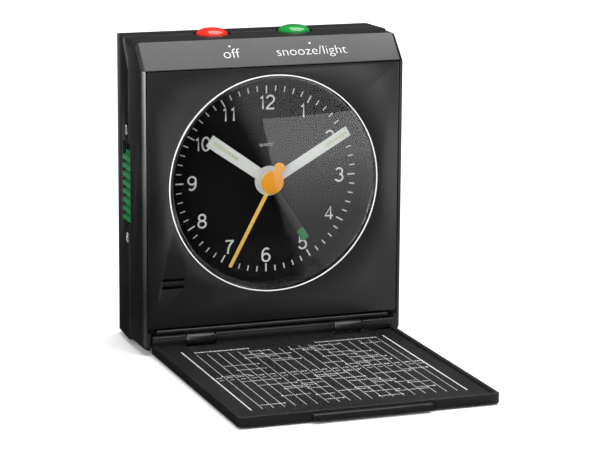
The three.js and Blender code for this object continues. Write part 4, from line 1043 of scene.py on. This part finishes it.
def alarm_slide():
    """A ribbed block in the side slot, with a flange behind the wall and a fork that moves the switch."""
    low, high = extent("alarm_slider")
    z0, z1 = SLOT["z0"] + 0.3, SLOT["z1"] - 2.5
    y0, y1 = SLOT["y0"] + 0.25, SLOT["y1"] - 0.25
    inner, outer = FLANGE["inner"], FLANGE["outer"]
    body = box("alarm_slide", (low.x + RIB["depth"], y0, z0), (outer + BITE, y1, z1))
    pitch = (z1 - z0) / RIB["count"]
    for i in range(RIB["count"]):
        bottom = z0 + i * pitch
        rib = box("rib", (low.x, y0, bottom),
                  (low.x + RIB["depth"] + BITE, y1, bottom + pitch * RIB["share"]))
        pick(rib, "VERT", lambda p: p.z > bottom + pitch / 2 and near(p.x, low.x))
        bpy.ops.transform.translate(value=(0, 0, -RIB["slant"] * pitch * MM))
        leave()
        fuse(body, soften(rib, 0.09, 2, 20))
    flange = box("flange", (outer, low.y, low.z), (inner, high.y, high.z))
    fork = box("fork", (inner - 0.2, 12, 37), (high.x, 16, 40))
    fuse(body, flange, fork)
    return finish_piece(body, "alarm_slider", FINISH["slider"], "slider_green", "alarm_slider")


# ---- lid ----
LID_SURFACE = HINGE_Z - 1.35  # the inner surface, which is printed
KNUCKLE = {"front": -1.0, "top": 1.2, "round": 1.22, "gap": 0.3}


def lid_knuckle(x0, x1):
    """A length of the hinge with a flat front and a round back."""
    top = HINGE_Z + KNUCKLE["top"]
    block = box("knuckle", (x0, KNUCKLE["front"], LID_LOW.z + 1.5), (x1, 0, top))
    round_edges(block, along_x(KNUCKLE["front"], top), 0.35)
    round_back = axle("knuckle_back", KNUCKLE["round"], x0, x1, 40)
    return soften(fuse(block, round_back), 0.06, 2, 50)


def lid_leaf():
    """The lid as it lies open: a leaf with a lip on three sides, a finger tab and three lengths of hinge."""
    surface = LID_SURFACE
    front = LID_LOW.y + 1.3
    half = LID_HIGH.x
    lip = 1

    def front_corner(a, b):
        return along_z(a, b) and a.y < front / 2

    leaf = box("lid_leaf", (-half, front, LID_LOW.z), (half, 0.5, surface + 0.6))
    round_edges(leaf, front_corner, 1.0, 6)
    tray = box("tray", (-half + lip, front + lip, surface), (half - lip, 20, surface + 10))
    round_edges(tray, front_corner, 0.5, 4)
    round_edges(tray, lambda a, b: near(a.z, surface) and near(b.z, surface) and not near(a.y, 20), 0.12, 2)
    cut(leaf, tray, box("heel", (-FAR, -1.25, surface), (FAR, 20, FAR)))
    inner, outer = BARREL["inner"] - KNUCKLE["gap"], BARREL["outer"] + KNUCKLE["gap"]
    room = BARREL["radius"]
    for x0, x1 in ((-outer, -inner), (inner, outer)):
        cut(leaf, box("barrel_pocket", (x0, -room - 0.5, HINGE_Z - room - 0.35), (x1, 10, HINGE_Z + 10)))
        cut(leaf, box("draft_line", (x0 + 0.2, -4.9, surface - 0.12), (x1 - 0.2, -4.75, surface + 1)))
    soften(leaf, 0.14, 2, 50)

    tab = box("tab", (-14, LID_LOW.y, LID_LOW.z + 0.25), (14, front + 0.4, LID_LOW.z + 1.75))
    soften(tab, 0.22, 3)
    fuse(leaf, tab)
    for x0, x1 in ((-half, -outer), (-inner, inner), (outer, half)):
        fuse(leaf, lid_knuckle(x0, x1))
    cut(leaf, axle("pin_bore", PIN, -40, 40, 24))
    return finish_piece(leaf, "lid", FINISH["lid"], "lid_plastic", "lid")


TABLE = {"half": 25.6, "near": -6.8, "far": -58.3, "columns": 19, "pitch": 2.57, "first": -22.9,
         "column_near": -10.2, "middle": -31.5}


def lid_table():
    """A printed table: two heavy rules, thin columns, and rows of dashes and dots in place of words."""
    z = LID_SURFACE + PRINT / 2
    rules = begin_print("lid_table_rules")
    length = TABLE["near"] - TABLE["far"]
    for x in (-TABLE["half"], TABLE["half"]):
        plate((x, (TABLE["near"] + TABLE["far"]) / 2, z), (0.34, length, PRINT))
    for i in range(TABLE["columns"]):
        x = TABLE["first"] + i * TABLE["pitch"]
        start = TABLE["column_near"] + (0.7 if i > 8 else 0)
        plate((x, (start + TABLE["far"] + 0.4) / 2, z), (0.11, start - TABLE["far"] - 0.4, PRINT))
    leave()
    finish_piece(rules, "lid", FINISH["lid_ink"], "hand_white")

    marks = begin_print("lid_table_marks")
    chance = random.Random(11)
    z += PRINT / 2

    def dashes(x0, x1, y, height):
        x = x0
        while x < x1:
            width = chance.uniform(0.18, 0.42)
            plate((x + width / 2, y + chance.uniform(-0.06, 0.06), z),
                  (width, height * chance.uniform(0.65, 1), PRINT))
            x += width + chance.uniform(0.1, 0.24)

    dashes(-22.8, -9.5, -8.3, 0.8)
    dashes(7.5, 23.5, -8.0, 0.7)
    for i in range(TABLE["columns"] + 1):
        x = TABLE["first"] + (i - 0.5) * TABLE["pitch"]
        dashes(x - 0.75, x + 0.6, TABLE["middle"], 0.62)
        dashes(x - 0.6, x + 0.4, TABLE["middle"] - 2.0, 0.4)
    for row in range(34):
        y = TABLE["near"] - 4.2 - row * 1.38
        if abs(y - TABLE["middle"] + 1) < 1.9:
            continue
        column = chance.randrange(0, TABLE["columns"] - 4)
        for _ in range(chance.choice((1, 2, 2))):
            x0 = TABLE["first"] + column * TABLE["pitch"] + 0.3
            x1 = min(x0 + chance.uniform(3.2, 8.5), TABLE["half"] - 1.5)
            if x1 - x0 > 2:
                dashes(x0, x1, y, 0.42)
                dot((chance.choice((x0 - 0.5, x1 + 0.5)), y, z), 0.3)
            column += chance.randrange(5, 9)
    leave()
    return finish_piece(marks, "lid", FINISH["lid_ink"], "hand_white")


# ---- back and underside ----
def battery_hatch():
    door = box("battery_hatch", DOOR_LOW, DOOR_HIGH)
    round_edges(door, along_y, 0.8, 5)
    soften(door, 0.15, 2, 50)
    grip_z = DOOR_HIGH.z - 1.7
    for i in range(3):
        z = grip_z - i * 0.95
        groove = box("grip", (-4.5, CASE_BACK - 0.35, z - 0.27), (4.5, CASE_BACK + 2, z + 0.27))
        round_edges(groove, along_y, 0.22, 3)
        cut(door, groove)
    return finish_piece(door, "battery_door", FINISH["case"], "case_plastic", "battery_door")


def set_knob(name, side):
    low, high = extent(name)
    x = side * KNOB["x"]
    knob = disc(name + "_cap", KNOB["radius"], low.y, high.y, x, sides=144)
    round_edges(knob, rim_at(high.y), 0.3)
    bowl = disc("bowl", KNOB["radius"] - 1.5, high.y - 0.5, high.y + 1, x, sides=96)
    round_edges(bowl, rim_at(high.y - 0.5), 0.3)
    cut(knob, bowl)
    cutters = []
    reach = KNOB["radius"] + 0.12
    for i in range(KNOB["flutes"]):
        angle = 2 * math.pi * i / KNOB["flutes"]
        u, v = x + reach * math.cos(angle), DIAL_Z + reach * math.sin(angle)
        cutters.append(disc("flute", 0.34, low.y - 1, high.y + 1, u, v, sides=10))
    cut(knob, join("flutes", cutters))
    mark = box("index", (x - INDEX["half"], high.y - INDEX["depth"], DIAL_Z + INDEX["low"]),
               (x + INDEX["half"], high.y + 1, DIAL_Z + INDEX["high"]))
    cut(knob, mark, disc("arbor_bore", 0.75, low.y - 1, low.y + 0.85, x, sides=24))
    return finish_piece(knob, name, FINISH["knob"], "knob_plastic", name)


def foot(name):
    low, high = extent(name)
    x, y = (low.x + high.x) / 2, (low.y + high.y) / 2
    pad = post(name + "_pad", high.x - x, x, y, low.z, high.z, 48)
    soften(pad, 0.25, 3)
    cut(pad, post("dimple", 1.5, x, y, low.z - 1, low.z + 0.2, 40))
    return finish_piece(pad, "case", FINISH["rubber"], "foot_rubber", name)


def case_screw(name):
    low, high = extent(name)
    x, z = (low.x + high.x) / 2, (low.z + high.z) / 2
    seat = high.y - 1.1
    head = disc(name + "_head", SCREW["head"], seat, high.y, x, z, sides=48)
    round_edges(head, rim_at(high.y), 0.3)
    fuse(head, disc("shank", SCREW["shank"], low.y, seat + 0.1, x, z, sides=24))
    for wide, tall in ((0.95, 0.22), (0.22, 0.95)):
        cut(head, box("slot", (x - wide, high.y - 0.6, z - tall), (x + wide, high.y + 1, z + tall)))
    return finish_piece(head, "case", FINISH["steel"], "steel", name)


# ---- printing on the case ----
def on_band(x, up):
    """A point on the sloping band, up from its lower edge."""
    step = up / math.sqrt(2)
    lift = 0.4 * PRINT
    return (x, step - lift, TOP - BAND + step + lift)


def legends():
    tilt = (math.pi / 4, 0, 0)
    baseline, dot_rise = 2.8, 6.23
    lettering("legend_off", "off", 4.15, on_band(-9.9, baseline), tilt)
    lettering("legend_snooze_light", "snooze/light", 17.7, on_band(10.2, baseline), tilt)
    dots = begin_print("legend_dots")
    for x in (-9.98, 10.18):
        dot(on_band(x, dot_rise), 0.26, tilt)
    leave()
    printed(dots)
    lettering("dial_caption", "quartz", 3.4, (0, DIAL_LOW.y - PRINT / 2, DIAL_Z + 8.0), (math.pi / 2, 0, 0))


def side_icon(name, drawings, y, z):
    """A small sign on the left side, a little behind the seam."""
    icon = pen(name, [(drawings, 2.5, (0, 0))], 0.24)
    slope = REAR_TAPER / (CASE_BACK - SEAM_Y)
    icon.rotation_euler = (0, 0, -math.pi / 2 - math.atan(slope))
    settle(icon)
    x = -HALF + (y - SEAM_Y) * slope
    icon.location = place(x - 0.01, y, z)
    settle(icon)
    return printed(icon)


def printing():
    legends()
    side_icon("alarm_on_sign", BELL, 13.9, 52.6)
    side_icon("alarm_off_sign", BELL + CROSS, 13.5, 26.4)


# ---- studio ----
VIEW = {"place": (-0.19736, -0.54193, 0.15723), "yaw": 20.0632, "pitch": -12.0709, "roll": 0.4008,
        "lens": 152.31, "shift": (-0.0099, 0.0011)}


def add_camera():
    yaw, pitch, roll = (math.radians(VIEW[key]) for key in ("yaw", "pitch", "roll"))
    ahead = Vector((math.sin(yaw) * math.cos(pitch), math.cos(yaw) * math.cos(pitch), math.sin(pitch)))
    level = Vector((math.cos(yaw), -math.sin(yaw), 0))
    upright = level.cross(ahead)
    right = level * math.cos(roll) + upright * math.sin(roll)
    up = upright * math.cos(roll) - level * math.sin(roll)
    bpy.ops.object.camera_add(location=VIEW["place"])
    camera = bpy.context.object
    camera.name = "view_camera"
    camera.rotation_mode = "QUATERNION"
    camera.rotation_quaternion = Matrix((right, up, -ahead)).transposed().to_quaternion()
    camera.data.lens = VIEW["lens"]
    camera.data.sensor_width = 36
    camera.data.shift_x, camera.data.shift_y = VIEW["shift"]
    camera.data.clip_start = 0.01
    bpy.context.scene.camera = camera


def softbox(name, centre, target, size, radiance, diffuse=True, glossy=True):
    """A flat soft light, set by the brightness of its surface; it can be kept from matt or glossy rays."""
    bpy.ops.object.light_add(type="AREA", location=centre)
    lamp = bpy.context.object
    lamp.name = name
    lamp.data.shape = "RECTANGLE"
    lamp.data.size, lamp.data.size_y = size
    lamp.data.energy = radiance * math.pi * size[0] * size[1]
    lamp.visible_diffuse = diffuse
    lamp.visible_glossy = glossy
    lamp.rotation_euler = (Vector(target) - Vector(centre)).to_track_quat("-Z", "Y").to_euler()
    return lamp


FLAG = {"slope": 0.2996, "edge": (0.0155, 0.0175)}
GLOW = {"sweep": 3.4, "rest": 0.012}


def add_floor():
    """White paper, which reflections see as dark flags with bright sweeps at the right and at the left."""
    bpy.ops.object.select_all(action="DESELECT")
    bpy.ops.mesh.primitive_plane_add(size=8)
    floor = fresh("paper_floor")
    material = bpy.data.materials.new("white_paper")
    material.use_nodes = True
    tree = material.node_tree
    shader = tree.nodes["Principled BSDF"]
    shader.inputs["Base Color"].default_value = (0.93, 0.93, 0.93, 1)
    shader.inputs["Roughness"].default_value = 0.9
    shader.inputs["Specular IOR Level"].default_value = 0
    where = node(tree, "ShaderNodeTexCoord")
    parts = node(tree, "ShaderNodeSeparateXYZ")
    tree.links.new(where.outputs["Object"], parts.inputs[0])
    # The flag's edge runs from (0.036, -0.067) to (0.129, -0.375) on the floor.
    across = math_node(tree, "MULTIPLY_ADD", parts.outputs["Y"], FLAG["slope"], parts.outputs["X"])
    past_flag = spread(tree, across, *FLAG["edge"])
    ahead = spread(tree, parts.outputs["Y"], -0.07, -0.32, 0.15, 1.0)
    sweep = math_node(tree, "MULTIPLY", past_flag, ahead)
    left = spread(tree, parts.outputs["X"], -0.06, -0.16, 0.0, 0.45)
    left = math_node(tree, "MULTIPLY", left, spread(tree, parts.outputs["Y"], 0.0, -0.07))
    sweep = math_node(tree, "ADD", sweep, left)
    glow = node(tree, "ShaderNodeEmission")
    glow.inputs["Color"].default_value = (1, 1, 1, 1)
    strength = math_node(tree, "MULTIPLY_ADD", sweep, GLOW["sweep"], GLOW["rest"])
    tree.links.new(strength, glow.inputs["Strength"])
    either = node(tree, "ShaderNodeMixShader")
    path = node(tree, "ShaderNodeLightPath")
    tree.links.new(path.outputs["Is Glossy Ray"], either.inputs[0])
    tree.links.new(shader.outputs[0], either.inputs[1])
    tree.links.new(glow.outputs[0], either.inputs[2])
    tree.links.new(either.outputs[0], tree.nodes["Material Output"].inputs["Surface"])
    floor.data.materials.append(material)


DROP = {"glossy": 0.92, "diffuse": 0.45}  # how much less white the surroundings are to such rays


def add_surroundings():
    """White seen directly, a soft fill for matt surfaces, and near black in reflections."""
    world = bpy.data.worlds.new("studio_white")
    bpy.context.scene.world = world
    world.use_nodes = True
    tree = world.node_tree
    backdrop = tree.nodes["Background"]
    path = node(tree, "ShaderNodeLightPath")
    dark = math_node(tree, "MULTIPLY_ADD", path.outputs["Is Glossy Ray"], -DROP["glossy"], 1.0)
    fill = math_node(tree, "MULTIPLY_ADD", path.outputs["Is Diffuse Ray"], -DROP["diffuse"], dark)
    tree.links.new(fill, backdrop.inputs["Strength"])
    backdrop.inputs["Color"].default_value = (1, 1, 1, 1)
    bpy.context.scene.view_settings.view_transform = "Standard"


MIDDLE = (0, 0.03, 0.04)


def add_lights():
    softbox("top_softbox", (0.25, -0.05, 1.15), MIDDLE, (1.5, 1.1), 4.2)
    softbox("left_fill", (-0.62, -0.42, 0.22), MIDDLE, (0.5, 0.6), 4.5, glossy=False)
    softbox("front_fill", (0.9, -1.1, 0.75), MIDDLE, (0.6, 0.6), 2.0, glossy=False)


def light_case_edges(shells):
    """A long soft light at the left, only for the shells, that brightens the rounded edge by the panel."""
    lamp = softbox("left_strip", (-0.72, -0.50, 0.25), MIDDLE, (1.3, 0.8), 18, diffuse=False)
    lit = bpy.data.collections.new("edge_lit")
    for shell in shells:
        lit.objects.link(shell)
    lamp.light_linking.receiver_collection = lit


add_camera()
add_floor()
add_surroundings()
add_lights()
paint_carried_nodes()

light_case_edges([front_shell(), rear_shell()])
front_panel()
lens()
dial_well()
dial_plate()
dial_ticks()
numerals()
hands()
push_button("off_button", -1, FINISH["red"], "button_red")
push_button("snooze_button", 1, FINISH["green"], "button_green")
alarm_slide()
lid_leaf()
lid_table()
battery_hatch()
set_knob("time_set_knob", 1)
set_knob("alarm_set_knob", -1)
for end in ("front", "rear"):
    for side in ("left", "right"):
        foot(f"foot_{end}_{side}")
for level in ("lower", "upper"):
    for side in ("left", "right"):
        case_screw(f"case_screw_{level}_{side}")
printing()
